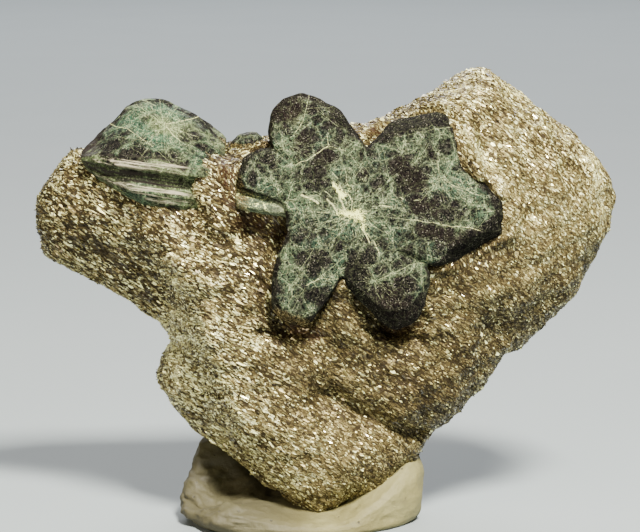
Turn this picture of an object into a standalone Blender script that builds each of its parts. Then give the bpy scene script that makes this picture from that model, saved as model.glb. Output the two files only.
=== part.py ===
"""Chrysoberyl twins grown in a lump of mica schist that stands in mounting putty.

+X is to the specimen's right as its crystals face you, -Y is the side of the crystals and +Z is
up. The origin is on the putty's flat underside, below the tip of the stone. Sizes are written
in millimetres and turned into metres when a mesh is made.
"""

import bmesh
import bpy
import numpy as np

MM = 0.001
GAP = 0.3  # kept between pieces that touch

# Matrix: a lump whose outline is a radius round its middle, seen from the front.
STONE_MIDDLE = (1.3, 31.6)  # x, z
STONE_FRONT = 12.4  # from the middle plane to the front face
STONE_BACK = 12.8
STONE_SEGMENTS = 96
STONE_RINGS = 28
STONE_OUTLINE = (  # degrees from +X towards +Z, radius
    (4, 34.4), (9, 36.5), (14, 37.6), (20, 38.0), (26, 37.0), (31, 35.6), (36, 34.5), (42, 33.4),
    (51, 33.0), (54, 32.2), (56.5, 30.6), (59.5, 27.9), (62.5, 25.2), (66, 23.0), (70.5, 21.4),
    (80, 19.3), (102, 18.5), (121, 20.0), (137, 23.2), (146, 28.1), (154, 35.9), (158.5, 37.7),
    (169.5, 39.2), (173, 38.2), (176, 37.1), (178.5, 35.0), (184, 29.3), (189, 26.3),
    (194, 24.1), (198, 22.9), (204, 23.1), (208, 25.0), (212, 26.5), (218, 27.3), (231, 26.8),
    (245, 27.3), (254, 28.4), (260, 29.7), (267, 31.0), (273, 29.9), (283, 28.4), (289.5, 27.3),
    (300, 25.3), (309, 24.8), (332, 25.1), (338.5, 26.6), (345, 28.2), (351.5, 30.9), (357, 32.6),
)
STONE_EDGE = (  # degrees, width of the band in which the front face rolls over to the outline
    (10, 17), (35, 15), (60, 10), (90, 9), (150, 11), (172, 12), (190, 10), (205, 7), (225, 6.5),
    (262, 7), (285, 8), (310, 10), (335, 13),
)
STONE_BACK_EDGE = 13.0
STONE_ROLL = 2.3  # how square the rolled edge is: 2 is a quarter ellipse
STONE_TOE_SHIFT = 6.0  # how far forward of the middle plane the widest part lies at the toe

# Front relief: ((x, z) of the ends of a line, half width, height), a negative height is a dip.
STONE_RELIEF = (
    ((-16.5, 30.0), (1.0, 7.5), 7.5, 1.3),  # the ridge down to the toe
    ((0.5, 17.2), (14.0, 10.4), 2.3, -2.3),  # the valley right of the toe
    ((10.0, 23.0), (22.0, 22.0), 7.0, -0.9),  # the hollow flank at the lower right
    ((25.8, 43.8), (27.0, 41.0), 2.6, -0.8),
    ((34.0, 44.0), (34.5, 41.0), 2.2, -0.9),
    ((22.0, 24.8), (28.5, 28.2), 2.2, -1.5),
    ((1.5, 30.6), (4.0, 27.6), 2.4, 1.6),  # schist that fills the notch between two lobes
    ((21.5, 60.0), (27.5, 45.0), 3.0, 0.9),  # schist that laps the twin's right side
    ((-11.2, 50.0), (-12.4, 41.5), 2.5, 2.2),  # schist between the two twins
    ((-8.5, 37.8), (-5.0, 36.5), 2.0, -2.2),  # the hollow under the pale bar
    ((-21.5, 33.0), (-19.0, 29.0), 3.0, -1.0),
    ((-31.0, 43.5), (-16.0, 41.0), 3.6, -2.4),  # the shelf in front of the second twin
)
STONE_BACK_RELIEF = (
    ((-10.0, 44.0), (16.0, 31.0), 8.0, 1.3),
    ((-6.0, 24.0), (14.0, 15.0), 3.0, -1.6),
    ((14.0, 50.0), (30.0, 38.0), 3.2, -1.7),
    ((-28.0, 41.0), (-16.0, 36.0), 4.0, 1.2),
)

# Large twin: an outline round its own middle, on a face that leans back.
TWIN_MIDDLE = (4.0, -14.6, 41.2)  # x, y, z of the middle of the face
TWIN_LEAN = 8.0  # degrees that the face looks up
TWIN_THICK = 8.2
TWIN_DOME = 0.5  # how much higher the middle of the face is than its rim
TWIN_OUTLINE = (  # degrees from +X towards +Z, radius
    (359.5, 19.8), (4.5, 19.0), (12, 17.1), (16.5, 16.1), (23, 15.5), (29.5, 16.1), (33, 16.8),
    (40, 17.4), (44.5, 17.3), (49, 16.8), (55.5, 15.1), (63, 13.3), (67, 12.1), (71, 10.0),
    (78, 8.5), (91, 11.1), (96.5, 13.0), (106, 14.8), (113, 16.5), (121, 16.7), (128.5, 16.1),
    (136.5, 14.7), (141.5, 13.2), (146, 14.2), (153, 15.2), (161.5, 15.1), (167, 14.2),
    (169, 10.4), (172, 8.7), (186, 8.3), (201, 8.7), (206, 10.0), (216, 12.2), (222, 13.6),
    (229, 15.4), (235, 16.1), (243, 15.8), (250, 14.6), (253, 12.4), (256, 10.4), (261, 8.6),
    (268, 9.6), (274, 10.9), (279, 12.1), (284, 14.2), (290, 15.6), (295, 15.9), (300, 15.8),
    (305, 15.2), (310.5, 14.3), (319, 12.9), (325, 11.7), (330, 13.2), (339, 15.2), (348, 17.7),
    (352, 19.4),
)
TWIN_BEVEL = (  # degrees, width of the sloping rim seen from the front
    (10, 1.0), (45, 1.7), (60, 2.3), (75, 0.8), (100, 1.3), (115, 0.8), (150, 0.9), (175, 0.5),
    (220, 1.0), (240, 1.2), (262, 0.7), (290, 2.6), (308, 1.6), (326, 0.8), (340, 2.4), (354, 2.4),
)
TWIN_BEVEL_SLOPE = 1.05  # depth of the rim for each unit of its width

# Pale bar that has grown into the twin's left side.
BAR_SIZE = (9.6, 5.6, 2.7)
BAR_MIDDLE = (-6.2, -10.6, 41.9)
BAR_TURN = -8.0  # degrees, its right end lower
BAR_BEVEL = 0.6

# Second twin: sections along X, each a profile of points forward and up from its axis.
EDGE_AXIS = (-27.0, -3.6, 46.0)  # a point of the axis
EDGE_FALL = 0.14  # how far the axis falls for each unit to the right
EDGE_RAKE = 0.7  # how far the left end is drawn to the right for each unit below the axis
EDGE_STATIONS = (  # x, crest height, share of the full width in front, share behind
    (-30.4, 47.6, 0.28, 0.30), (-29.8, 48.3, 0.46, 0.50), (-28.4, 49.8, 0.70, 0.75),
    (-26.6, 51.4, 0.90, 0.92), (-24.8, 53.5, 1.00, 1.00), (-22.8, 54.5, 1.00, 1.00),
    (-20.0, 54.3, 1.00, 1.00), (-17.0, 53.0, 0.99, 1.00), (-14.5, 51.3, 0.96, 0.95),
    (-12.8, 50.0, 0.88, 0.85), (-12.0, 49.2, 0.76, 0.70),
)
EDGE_PROFILE = (  # forward, up, share of the crest's height that is added to up
    (7.2, 0.9, 0.0), (7.0, 1.5, 0.0), (6.5, 2.1, 0.0), (3.2, 0.3, 0.55), (0.0, 0.3, 0.85),
    (-3.2, 0.0, 1.0), (-4.6, -1.0, 1.0), (-5.8, -0.6, 0.55), (-6.2, 0.0, 0.0), (-6.0, -2.6, 0.0),
    (-4.6, -4.4, 0.0), (0.0, -4.8, 0.0), (3.6, -4.7, 0.0), (5.7, -4.2, 0.0), (6.8, -3.2, 0.0),
    (7.1, -2.2, 0.0), (6.9, -1.6, 0.0), (6.2, -1.2, 0.0), (6.2, 0.4, 0.0),
)

# Small crystal end in the top edge, between the twins.
KNOB_MIDDLE = (-9.4, -3.0, 47.9)
KNOB_SIZE = (4.2, 4.6, 4.2)
KNOB_SIDES = 6

# Putty: an outline on the base, with the height of its wall in each direction.
PUTTY_MIDDLE = (-1.7, -1.6)  # x, y
PUTTY_OUTLINE = (  # degrees from +X towards +Y, radius
    (0, 15.2), (40, 14.6), (90, 13.6), (140, 14.4), (180, 15.6), (200, 16.6), (225, 17.0),
    (250, 15.3), (270, 14.4), (300, 14.8), (330, 15.6),
)
PUTTY_WALL = (  # degrees, height of the wall's shoulder
    (0, 9.8), (45, 10.2), (90, 10.4), (140, 10.4), (178, 9.8), (196, 5.2), (212, 3.4), (235, 3.2),
    (262, 2.2), (280, 2.1), (300, 3.1), (325, 6.6), (345, 8.8),
)
PUTTY_SEGMENTS = 60


def clear_scene():
    """Remove what Blender's start scene holds."""
    for thing in list(bpy.data.objects):
        bpy.data.objects.remove(thing)


def new_collection(name):
    """A collection of the scene."""
    group = bpy.data.collections.new(name)
    bpy.context.scene.collection.children.link(group)
    return group


def new_material(name, colour, roughness, metallic=0.0):
    """A Principled material of one colour."""
    made = bpy.data.materials.new(name)
    made.use_nodes = True
    shader = made.node_tree.nodes["Principled BSDF"]
    shader.inputs["Base Color"].default_value = (*colour, 1.0)
    shader.inputs["Roughness"].default_value = roughness
    shader.inputs["Metallic"].default_value = metallic
    return made


def new_object(name, bm, group, made_of=None):
    """Put a bmesh written in millimetres into an object of the group."""
    bmesh.ops.scale(bm, vec=(MM, MM, MM), verts=bm.verts)
    mesh = bpy.data.meshes.new(name)
    bm.to_mesh(mesh)
    bm.free()
    thing = bpy.data.objects.new(name, mesh)
    group.objects.link(thing)
    if made_of:
        mesh.materials.append(made_of)
    return thing


def ball(segments, rings, place):
    """A UV sphere with each point moved to place(k, j): k counts round, j from pole to pole."""
    bm = bmesh.new()
    bmesh.ops.create_uvsphere(bm, u_segments=segments, v_segments=rings, radius=1.0)
    points = np.array([point.co for point in bm.verts])
    turn = np.arctan2(points[:, 1], points[:, 0]) / (2 * np.pi)
    k = np.rint(turn * segments).astype(int) % segments
    j = np.rint(np.arccos(np.clip(points[:, 2], -1, 1)) / np.pi * rings).astype(int)
    for point, moved in zip(bm.verts, place(k, j)):
        point.co = moved
    return bm


def closed_curve(angles, stops):
    """A smooth closed curve through stops of (degrees, value), read at angles in degrees."""
    stops = np.array(sorted(stops))
    at = np.concatenate([stops[-2:, 0] - 360, stops[:, 0], stops[:2, 0] + 360])
    value = np.concatenate([stops[-2:, 1], stops[:, 1], stops[:2, 1]])
    slope = (value[2:] - value[:-2]) / (at[2:] - at[:-2])
    at, value = at[1:-1], value[1:-1]
    angles = np.mod(angles, 360)
    i = np.clip(np.searchsorted(at, angles) - 1, 0, len(at) - 2)
    span = at[i + 1] - at[i]
    t = (angles - at[i]) / span
    rise = t * t * (3 - 2 * t)
    ease_out = t * (1 - t) ** 2 * span * slope[i]
    ease_in = t * t * (t - 1) * span * slope[i + 1]
    return value[i] * (1 - rise) + value[i + 1] * rise + ease_out + ease_in


def smooth(value, start, end):
    """0 before start, 1 after end, and an eased step between them."""
    t = np.clip((value - start) / (end - start), 0, 1)
    return t * t * (3 - 2 * t)


def near_line(x, z, start, end, width):
    """1 on the line from start to end, falling to nothing within about two widths of it."""
    along = np.subtract(end, start)
    share = ((x - start[0]) * along[0] + (z - start[1]) * along[1]) / along.dot(along)
    share = np.clip(share, 0, 1)
    away = np.hypot(x - start[0] - share * along[0], z - start[1] - share * along[1])
    return np.exp(-((away / width) ** 2))


def lumps(x, y, z):
    """The uneven swell of broken schist: three crossed waves, in millimetres."""
    swell = np.sin(0.62 * x + 0.31 * z + 0.5 * y) * np.sin(0.48 * z - 0.27 * x + 1.3)
    knots = np.sin(1.35 * x - 0.8 * z + 0.6 * y + 0.7) * np.sin(1.1 * z + 0.9 * x + 2.1)
    return 0.38 * swell + 0.22 * knots


def stone_depths(x, z):
    """How far the front and the back stand from the middle plane at x, z."""
    arm = smooth(-x, 12, 34)
    toe = smooth(-z, -16, -2)
    lobe = smooth(x, 18, 40)
    front = STONE_FRONT - 3.0 * arm - 0.8 * toe - 2.4 * lobe
    front = front - 5.5 * smooth(-x - 0.4 * z, 3, 10) * smooth(-z - 0.2 * x, -38, -27)
    for start, end, width, height in STONE_RELIEF:
        front = front + height * near_line(x, z, start, end, width)
    back = STONE_BACK - 3.4 * arm - 4.0 * toe - 1.4 * lobe - 1.5 * smooth(z - 0.4 * x, 40, 44)
    for start, end, width, height in STONE_BACK_RELIEF:
        back = back + height * near_line(x, z, start, end, width)
    return front, back


def stone_points(k, j, grow):
    """Points of the matrix: rings of its outline from the front pole to the back pole."""
    angle = k * 360 / STONE_SEGMENTS
    share = j / STONE_RINGS  # 0 is the front pole, 1 the back pole
    radius = closed_curve(angle, STONE_OUTLINE) + grow
    turn = np.radians(angle)
    reach = np.sin(np.pi * share)
    x = STONE_MIDDLE[0] + radius * reach * np.cos(turn)
    z = STONE_MIDDLE[1] + radius * reach * np.sin(turn)
    front, back = stone_depths(x, z)
    is_front = share <= 0.5
    edge = np.where(is_front, closed_curve(angle, STONE_EDGE), STONE_BACK_EDGE)
    wider, narrower = closed_curve(angle + 5, STONE_OUTLINE), closed_curve(angle - 5, STONE_OUTLINE)
    slant = (wider - narrower) / np.radians(10) / radius
    inside = (1 - reach) * radius / np.hypot(1, slant)  # distance in from the outline
    rise = np.sqrt(1 - (1 - np.minimum(inside / edge, 1)) ** STONE_ROLL)
    widest = -STONE_TOE_SHIFT * smooth(-z, -15, -3)
    y = widest + np.where(is_front, -(front + grow + widest), back + grow - widest) * rise
    bump = lumps(x, y, z)
    x = x + bump * reach * np.cos(turn)
    z = z + bump * reach * np.sin(turn)
    y = y + bump * np.where(is_front, -1, 1) * (1 - reach**4)
    return np.stack([x, y, z], axis=1)


def make_stone(name, group, made_of=None, grow=0.0):
    """The schist lump, or one that is larger all round by grow."""
    bm = ball(STONE_SEGMENTS, STONE_RINGS, lambda k, j: stone_points(k, j, grow))
    return new_object(name, bm, group, made_of)


def twin_points(k, j, grow):
    """Points of the large twin: middle of the face, face rim, outline, back outline, back."""
    angle, radius = np.array(TWIN_OUTLINE).T[:, k]
    bevel = closed_curve(angle, TWIN_BEVEL)
    face = radius - bevel
    rim_depth = TWIN_DOME + TWIN_BEVEL_SLOPE * bevel
    reaches = [0 * face, 0.55 * face, face, radius + grow, 0.93 * radius + grow, 0 * face]
    depths = [-grow, 0.3 * TWIN_DOME - grow, TWIN_DOME - grow, rim_depth, TWIN_THICK + grow,
              TWIN_THICK + grow]
    reach = np.choose(j, reaches)
    depth = np.choose(j, depths)
    turn = np.radians(angle)
    lean = np.radians(TWIN_LEAN)
    up = reach * np.sin(turn)
    x = reach * np.cos(turn)
    y = depth * np.cos(lean) + up * np.sin(lean)
    z = up * np.cos(lean) - depth * np.sin(lean)
    return np.stack([x, y, z], axis=1) + np.array(TWIN_MIDDLE)


def bar_points(k, j, grow):
    """Points of the pale bar: a bevelled block along X."""
    length, deep, tall = np.array(BAR_SIZE) + 2 * grow
    corners = block_outline(deep, tall, BAR_BEVEL)
    ends = np.array([-0.5, -0.5, -0.36, 0.5, 0.5]) * length
    shares = np.array([0.0, 0.55, 1.0, 1.0, 0.0])
    out, up = corners[k].T * shares[j]
    x = ends[j]
    tip = np.radians(BAR_TURN)
    turned = [x * np.cos(tip) - up * np.sin(tip), -out, x * np.sin(tip) + up * np.cos(tip)]
    return np.stack(turned, axis=1) + np.array(BAR_MIDDLE)


def block_outline(wide, tall, bevel):
    """The eight corners of a bevelled rectangle, from its right side towards the top."""
    a, b = wide / 2, tall / 2
    return np.array([
        (a, -b + bevel), (a, b - bevel), (a - bevel, b), (-a + bevel, b),
        (-a, b - bevel), (-a, -b + bevel), (-a + bevel, -b), (a - bevel, -b),
    ])


def make_large_twin(name, group, cutters, made_of=None, grow=0.0):
    """The six-lobed twin with the pale bar joined into its side."""
    bm = ball(len(TWIN_OUTLINE), 5, lambda k, j: twin_points(k, j, grow))
    twin = new_object(name, bm, group, made_of)
    bm = ball(8, 4, lambda k, j: bar_points(k, j, grow))
    bar = new_cutter(f"{name}_bar", bm, cutters)
    add_boolean(twin, bar, "UNION")
    return twin


def edge_points(k, j, grow):
    """Points of the second twin: its stepped profile at each station along X."""
    stations = np.array(EDGE_STATIONS)
    ends = stations[[0, -1]] * (1, 1, 0, 0)
    ends[:, 0] += (-grow, grow)
    stations[[0, -1], 0] += (-grow, grow)
    x, crest, front_share, back_share = np.vstack([ends[:1], stations, ends[1:]])[j].T
    forward, up, crest_share = np.array(EDGE_PROFILE)[k].T
    axis_z = EDGE_AXIS[2] - EDGE_FALL * (x - EDGE_AXIS[0])
    wide = np.where(forward > 0, front_share, back_share)
    up = up * wide + crest_share * (crest - axis_z)
    x = x + EDGE_RAKE * np.maximum(-up, 0) * smooth(-x, 18, 27)
    length = np.hypot(forward, up)
    more = grow * np.sign(wide) / np.maximum(length, 1)
    y = EDGE_AXIS[1] - forward * wide - forward * more
    z = axis_z + up * np.sign(wide) + up * more
    return np.stack([x, y, z], axis=1)


def make_edge_twin(name, group, made_of=None, grow=0.0):
    """The twin that shows its stepped edge."""
    rings = len(EDGE_STATIONS) + 1
    bm = ball(len(EDGE_PROFILE), rings, lambda k, j: edge_points(k, j, grow))
    return new_object(name, bm, group, made_of)


def knob_points(k, j, grow):
    """Points of the small crystal end: a six-sided prism with a sloping top."""
    size = np.array(KNOB_SIZE) / 2 + grow
    turn = np.radians(k * 360 / KNOB_SIDES + 12)
    share = np.array([0, 0.62, 1.0, 1.0, 0])[j]
    height = np.array([1.0, 0.92, 0.5, -1.0, -1.0])[j]
    x = size[0] * share * np.cos(turn)
    y = size[1] * share * np.sin(turn)
    return np.stack([x, y, size[2] * height + 0.12 * x], axis=1) + np.array(KNOB_MIDDLE)


def make_knob(name, group, made_of=None, grow=0.0):
    """The small crystal end in the top edge."""
    bm = ball(KNOB_SIDES, 4, lambda k, j: knob_points(k, j, grow))
    return new_object(name, bm, group, made_of)


def putty_points(k, j):
    """Points of the putty: top middle, top slope, shoulder, belly, foot and flat underside."""
    angle = k * 360 / PUTTY_SEGMENTS
    radius = closed_curve(angle, PUTTY_OUTLINE)
    wall = closed_curve(angle, PUTTY_WALL)
    middle = 3.2
    shares = [0, 0.3, 0.58, 0.8, 0.915, 0.97, 1.0, 0.985, 0.95, 0.0]
    heights = [middle, 0.85 * middle + 0.15 * wall, 0.45 * middle + 0.55 * wall,
               0.1 * middle + 0.93 * wall, 0.93 * wall, 0.75 * wall, 0.42 * wall, 0.12 * wall,
               0 * wall, 0 * wall]
    reach = np.array(shares)[j] * radius
    turn = np.radians(angle)
    x = PUTTY_MIDDLE[0] + reach * np.cos(turn)
    y = PUTTY_MIDDLE[1] + reach * np.sin(turn)
    return np.stack([x, y, np.choose(j, heights)], axis=1)


def make_putty(name, group, made_of):
    """The putty lump before the stone is pressed into it."""
    return new_object(name, ball(PUTTY_SEGMENTS, 9, putty_points), group, made_of)


def new_cutter(name, bm, cutters):
    """An object that only cuts or joins others."""
    return as_cutter(new_object(name, bm, cutters))


def as_cutter(thing):
    """Hide a cutting object from renders and draw it as wire."""
    thing.hide_render = True
    thing.display_type = "WIRE"
    return thing


def add_boolean(thing, other, operation):
    """Cut or join another object's shape with an exact Boolean."""
    boolean = thing.modifiers.new(f"{operation.lower()}_{other.name}", "BOOLEAN")
    boolean.operation = operation
    boolean.solver = "EXACT"
    boolean.object = other


def main():
    """Build the specimen: crystals, the matrix cut for them, and the putty cut for the matrix."""
    clear_scene()
    parts = new_collection("chrysoberyl_specimen")
    cutters = new_collection("cutters")
    schist = new_material("mica_schist", (0.32, 0.25, 0.14), 0.42, 0.25)
    green = new_material("chrysoberyl_dark_green", (0.035, 0.07, 0.05), 0.32)
    pale = new_material("chrysoberyl_veined_green", (0.12, 0.2, 0.13), 0.38)
    dark = new_material("chrysoberyl_black_green", (0.02, 0.045, 0.035), 0.35)
    cream = new_material("mounting_putty", (0.62, 0.56, 0.42), 0.7)

    make_large_twin("chrysoberyl_sixling", parts, cutters, green)
    make_edge_twin("chrysoberyl_edge_twin", parts, pale)
    make_knob("chrysoberyl_knob", parts, dark)

    stone = make_stone("mica_schist_matrix", parts, schist)
    pockets = (
        make_large_twin("pocket_sixling", cutters, cutters, grow=GAP),
        make_edge_twin("pocket_edge_twin", cutters, grow=GAP),
        make_knob("pocket_knob", cutters, grow=GAP),
    )
    for pocket in pockets:
        add_boolean(stone, as_cutter(pocket), "DIFFERENCE")

    putty = make_putty("putty_mount", parts, cream)
    seat = as_cutter(make_stone("seat_stone", cutters, grow=GAP))
    add_boolean(putty, seat, "DIFFERENCE")


main()
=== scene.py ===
"""Looks of a hand specimen: dark green chrysoberyl twins in mica schist, held in mounting putty.

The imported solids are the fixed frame. Each sub-assembly is a class with its sizes in millimetres,
and points are turned into metres when a mesh is made; the studio's sizes are in metres. -Y is the
side of the crystals, +X is to the right as they face you, and +Z is up.
"""

import logging
from dataclasses import dataclass, field
from enum import Enum
from typing import Any

import bpy
import numpy as np
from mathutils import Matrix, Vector


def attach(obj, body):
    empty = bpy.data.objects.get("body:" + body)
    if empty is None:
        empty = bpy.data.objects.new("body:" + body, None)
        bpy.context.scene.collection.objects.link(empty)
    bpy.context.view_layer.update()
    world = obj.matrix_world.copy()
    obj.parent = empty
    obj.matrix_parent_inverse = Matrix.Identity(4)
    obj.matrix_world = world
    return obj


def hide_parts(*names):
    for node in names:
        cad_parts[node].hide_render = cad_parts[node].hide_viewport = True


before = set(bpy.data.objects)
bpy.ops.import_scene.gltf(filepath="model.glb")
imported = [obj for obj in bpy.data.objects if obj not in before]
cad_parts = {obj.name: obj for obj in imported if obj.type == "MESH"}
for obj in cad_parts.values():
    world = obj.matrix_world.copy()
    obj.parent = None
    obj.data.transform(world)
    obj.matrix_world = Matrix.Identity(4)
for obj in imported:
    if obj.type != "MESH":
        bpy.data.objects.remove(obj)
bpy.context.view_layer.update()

MM = 0.001
SEED = 41
LOG = logging.getLogger("specimen")

Array = np.ndarray
Pair = tuple[float, float]
Triple = tuple[float, float, float]
Stops = tuple[Pair, ...]
Line = tuple[Pair, Pair, float, float]  # two ends, half width, and height or strength


class Slot(Enum):
    """The material slots of the record."""

    SCHIST = "schist"
    CRYSTAL = "chrysoberyl"
    PUTTY = "putty"


# ------------------------ shapes as formulas


def closed_curve(angles: Array, stops: Stops) -> Array:
    """A smooth closed curve through stops, made of cubic pieces.

    The slope at a stop is that of the straight line between the stops on either side of it.

    Args:
        angles: where the curve is read, in degrees.
        stops: pairs of degrees and value.

    Returns:
        The value at each angle.
    """
    ordered = np.array(sorted(stops))
    at = np.concatenate([ordered[-2:, 0] - 360, ordered[:, 0], ordered[:2, 0] + 360])
    value = np.concatenate([ordered[-2:, 1], ordered[:, 1], ordered[:2, 1]])
    slope = (value[2:] - value[:-2]) / (at[2:] - at[:-2])
    at, value = at[1:-1], value[1:-1]
    angles = np.mod(angles, 360)
    i = np.clip(np.searchsorted(at, angles) - 1, 0, len(at) - 2)
    span = at[i + 1] - at[i]
    t = (angles - at[i]) / span
    rise = t * t * (3 - 2 * t)
    ease_out = t * (1 - t) ** 2 * span * slope[i]
    ease_in = t * t * (t - 1) * span * slope[i + 1]
    return value[i] * (1 - rise) + value[i + 1] * rise + ease_out + ease_in


def smooth(value: Array, start: float, end: float) -> Array:
    """0 before start, 1 after end, and an eased step 3t^2 - 2t^3 between them."""
    t = np.clip((value - start) / (end - start), 0, 1)
    return t * t * (3 - 2 * t)


def line_distance(x: Array, z: Array, start: Pair, end: Pair) -> Array:
    """The distance of points from a straight line that stops at its ends.

    Args:
        x: millimetres to the right.
        z: millimetres up.
        start: one end of the line.
        end: its other end.

    Returns:
        The distance of each point.
    """
    along = np.subtract(end, start)
    share = ((x - start[0]) * along[0] + (z - start[1]) * along[1]) / along.dot(along)
    share = np.clip(share, 0, 1)
    return np.hypot(x - start[0] - share * along[0], z - start[1] - share * along[1])


def near_line(x: Array, z: Array, start: Pair, end: Pair, width: float) -> Array:
    """1 on the line, falling as exp(-(distance / width)^2)."""
    return np.exp(-((line_distance(x, z, start, end) / width) ** 2))


def ridges(x: Array, z: Array, lines: tuple[Line, ...]) -> Array:
    """The sum of soft lines, each its height times exp(-(distance / width)^2).

    Args:
        x: millimetres to the right.
        z: millimetres up.
        lines: ends, half width and height of each line.

    Returns:
        The sum at each point.
    """
    total = np.zeros(np.shape(x))
    for start, end, width, height in lines:
        total = total + height * near_line(x, z, start, end, width)
    return total


def vein_marks(x: Array, z: Array, veins: tuple[Line, ...]) -> dict[str, Array]:
    """Numbers from which a material draws thin veins that are sharp between the points.

    The distance across the nearest vein keeps its sign, so that it runs evenly through zero from
    one side to the other.

    Args:
        x: millimetres to the right.
        z: millimetres up.
        veins: ends, half width and strength of each vein.

    Returns:
        "vein": distance across the nearest vein in half widths, with its sign; "reach": distance
        from it in millimetres; "bold": its strength.
    """
    nearest = np.full(x.shape, 1e3)
    across, bold = np.zeros(x.shape), np.zeros(x.shape)
    for start, end, width, strength in veins:
        along = np.subtract(end, start) / np.hypot(*np.subtract(end, start))
        away = line_distance(x, z, start, end)
        signed = (x - start[0]) * along[1] - (z - start[1]) * along[0]
        closer = away < nearest
        nearest = np.where(closer, away, nearest)
        across = np.where(closer, signed / width, across)
        bold = np.where(closer, strength, bold)
    return {"vein": across, "reach": nearest, "bold": bold}


def unit(vectors: Array) -> Array:
    """The vectors at length 1."""
    return vectors / np.maximum(np.linalg.norm(vectors, axis=-1, keepdims=True), 1e-9)


def lattice_value(cells: Array, seed: int) -> Array:
    """A fixed number from -1 to 1 for each cell.

    The cell's three whole numbers are multiplied by large odd numbers, and the result is mixed
    by shifts and exclusive ors.

    Args:
        cells: whole numbers, three for each cell on the last axis.
        seed: picks another set of numbers.

    Returns:
        One number for each cell.
    """
    word = cells[..., 0] * 73856093 ^ cells[..., 1] * 19349663 ^ cells[..., 2] * 83492791
    word = (word ^ (seed * 40503)) & 0xFFFFFFFF
    word = ((word ^ (word >> 15)) * 739982445) & 0xFFFFFFFF
    word = ((word ^ (word >> 13)) * 695872825) & 0xFFFFFFFF
    return ((word ^ (word >> 16)) & 0xFFFF) / 32767.5 - 1


def value_noise(points: Array, seed: int) -> Array:
    """Noise from -1 to 1: the eight nearest lattice values, blended with eased shares.

    Args:
        points: coordinates in lattice steps, three for each point on the last axis.
        seed: picks another pattern.

    Returns:
        One number for each point.
    """
    base = np.floor(points).astype(np.int64)
    share = points - base
    share = share * share * (3 - 2 * share)
    total = np.zeros(points.shape[:-1])
    for corner in np.ndindex(2, 2, 2):
        weight = np.prod(np.where(corner, share, 1 - share), axis=-1)
        total = total + weight * lattice_value(base + corner, seed)
    return total


def fractal(points: Array, size: float, seed: int, octaves: int = 4) -> Array:
    """Noise summed over octaves, each half the size and half the height of the one before.

    Args:
        points: coordinates in millimetres.
        size: width of the largest lumps.
        seed: picks another pattern.
        octaves: how many sizes are summed.

    Returns:
        One number for each point, mostly between -1 and 1.
    """
    total = np.zeros(points.shape[:-1])
    for octave in range(octaves):
        step = size * 0.5**octave
        total = total + 0.5**octave * value_noise(points / step + 17.3 * octave, seed + octave)
    return total


def grid_normals(points: Array) -> Array:
    """Outward unit normals of a grid: the step down the rows crossed with the step round them.

    Args:
        points: places by row, column and axis, with poles for the first and last rows.

    Returns:
        One normal for each point.
    """
    round_rows = np.roll(points, -1, axis=1) - np.roll(points, 1, axis=1)
    down_rows = np.gradient(points, axis=0)
    normals = unit(np.cross(down_rows, round_rows))
    normals[0], normals[-1] = unit(normals[1].mean(axis=0)), unit(normals[-2].mean(axis=0))
    return normals


def raised(points: Array, height: Array) -> Array:
    """Grid points moved out by a height along their normals."""
    return points + grid_normals(points) * height[..., None]


def soften_rows(values: Array, times: int) -> Array:
    """Each row blended with its neighbours as 1, 2, 1, which rounds corners; the ends stay.

    Args:
        values: one row after another.
        times: how often the rows are blended.

    Returns:
        The softened rows.
    """
    values = values.copy()
    for _ in range(times):
        values[1:-1] = (values[:-2] + 2 * values[1:-1] + values[2:]) / 4
    return values


def soften_loop(values: Array, times: int) -> Array:
    """A closed row of numbers, each blended with its neighbours as 1, 2, 1.

    Args:
        values: the numbers, of which the last is followed by the first.
        times: how often they are blended.

    Returns:
        The softened numbers.
    """
    for _ in range(times):
        values = (np.roll(values, 1) + 2 * values + np.roll(values, -1)) / 4
    return values


# ------------------------ meshes


def link_piece(mesh: bpy.types.Mesh, marks: dict[str, Array], corners: Array) -> bpy.types.Object:
    """Put a mesh in the scene with its numbers for each point and its map for the bake.

    Args:
        mesh: a finished mesh, in metres.
        marks: numbers for each point, by the name that materials read.
        corners: map coordinates for each face corner.

    Returns:
        The new object.
    """
    for name, numbers in marks.items():
        layer = mesh.attributes.new(name, "FLOAT", "POINT")
        layer.data.foreach_set("value", np.asarray(numbers, dtype=np.float32).ravel())
    chart = mesh.uv_layers.new(name="OFBake")
    chart.data.foreach_set("uv", np.asarray(corners, dtype=np.float32).ravel())
    piece = bpy.data.objects.new(mesh.name, mesh)
    bpy.context.scene.collection.objects.link(piece)
    return piece


def new_mesh(name: str, points: Array, loops: Array, sizes: Array, rounded: bool) -> bpy.types.Mesh:
    """A mesh from whole arrays.

    Args:
        name: the mesh's name.
        points: places of the points in millimetres.
        loops: point numbers of all faces, one face after another.
        sizes: how many corners each face has.
        rounded: True for smooth shading.

    Returns:
        The mesh, in metres.
    """
    mesh = bpy.data.meshes.new(name)
    mesh.vertices.add(len(points))
    mesh.vertices.foreach_set("co", (points * MM).astype(np.float32).ravel())
    mesh.loops.add(len(loops))
    mesh.loops.foreach_set("vertex_index", loops.astype(np.int32))
    mesh.polygons.add(len(sizes))
    mesh.polygons.foreach_set("loop_start", (np.cumsum(sizes) - sizes).astype(np.int32))
    mesh.update(calc_edges=True)
    mesh.polygons.foreach_set("use_smooth", np.full(len(sizes), rounded))
    return mesh


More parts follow.
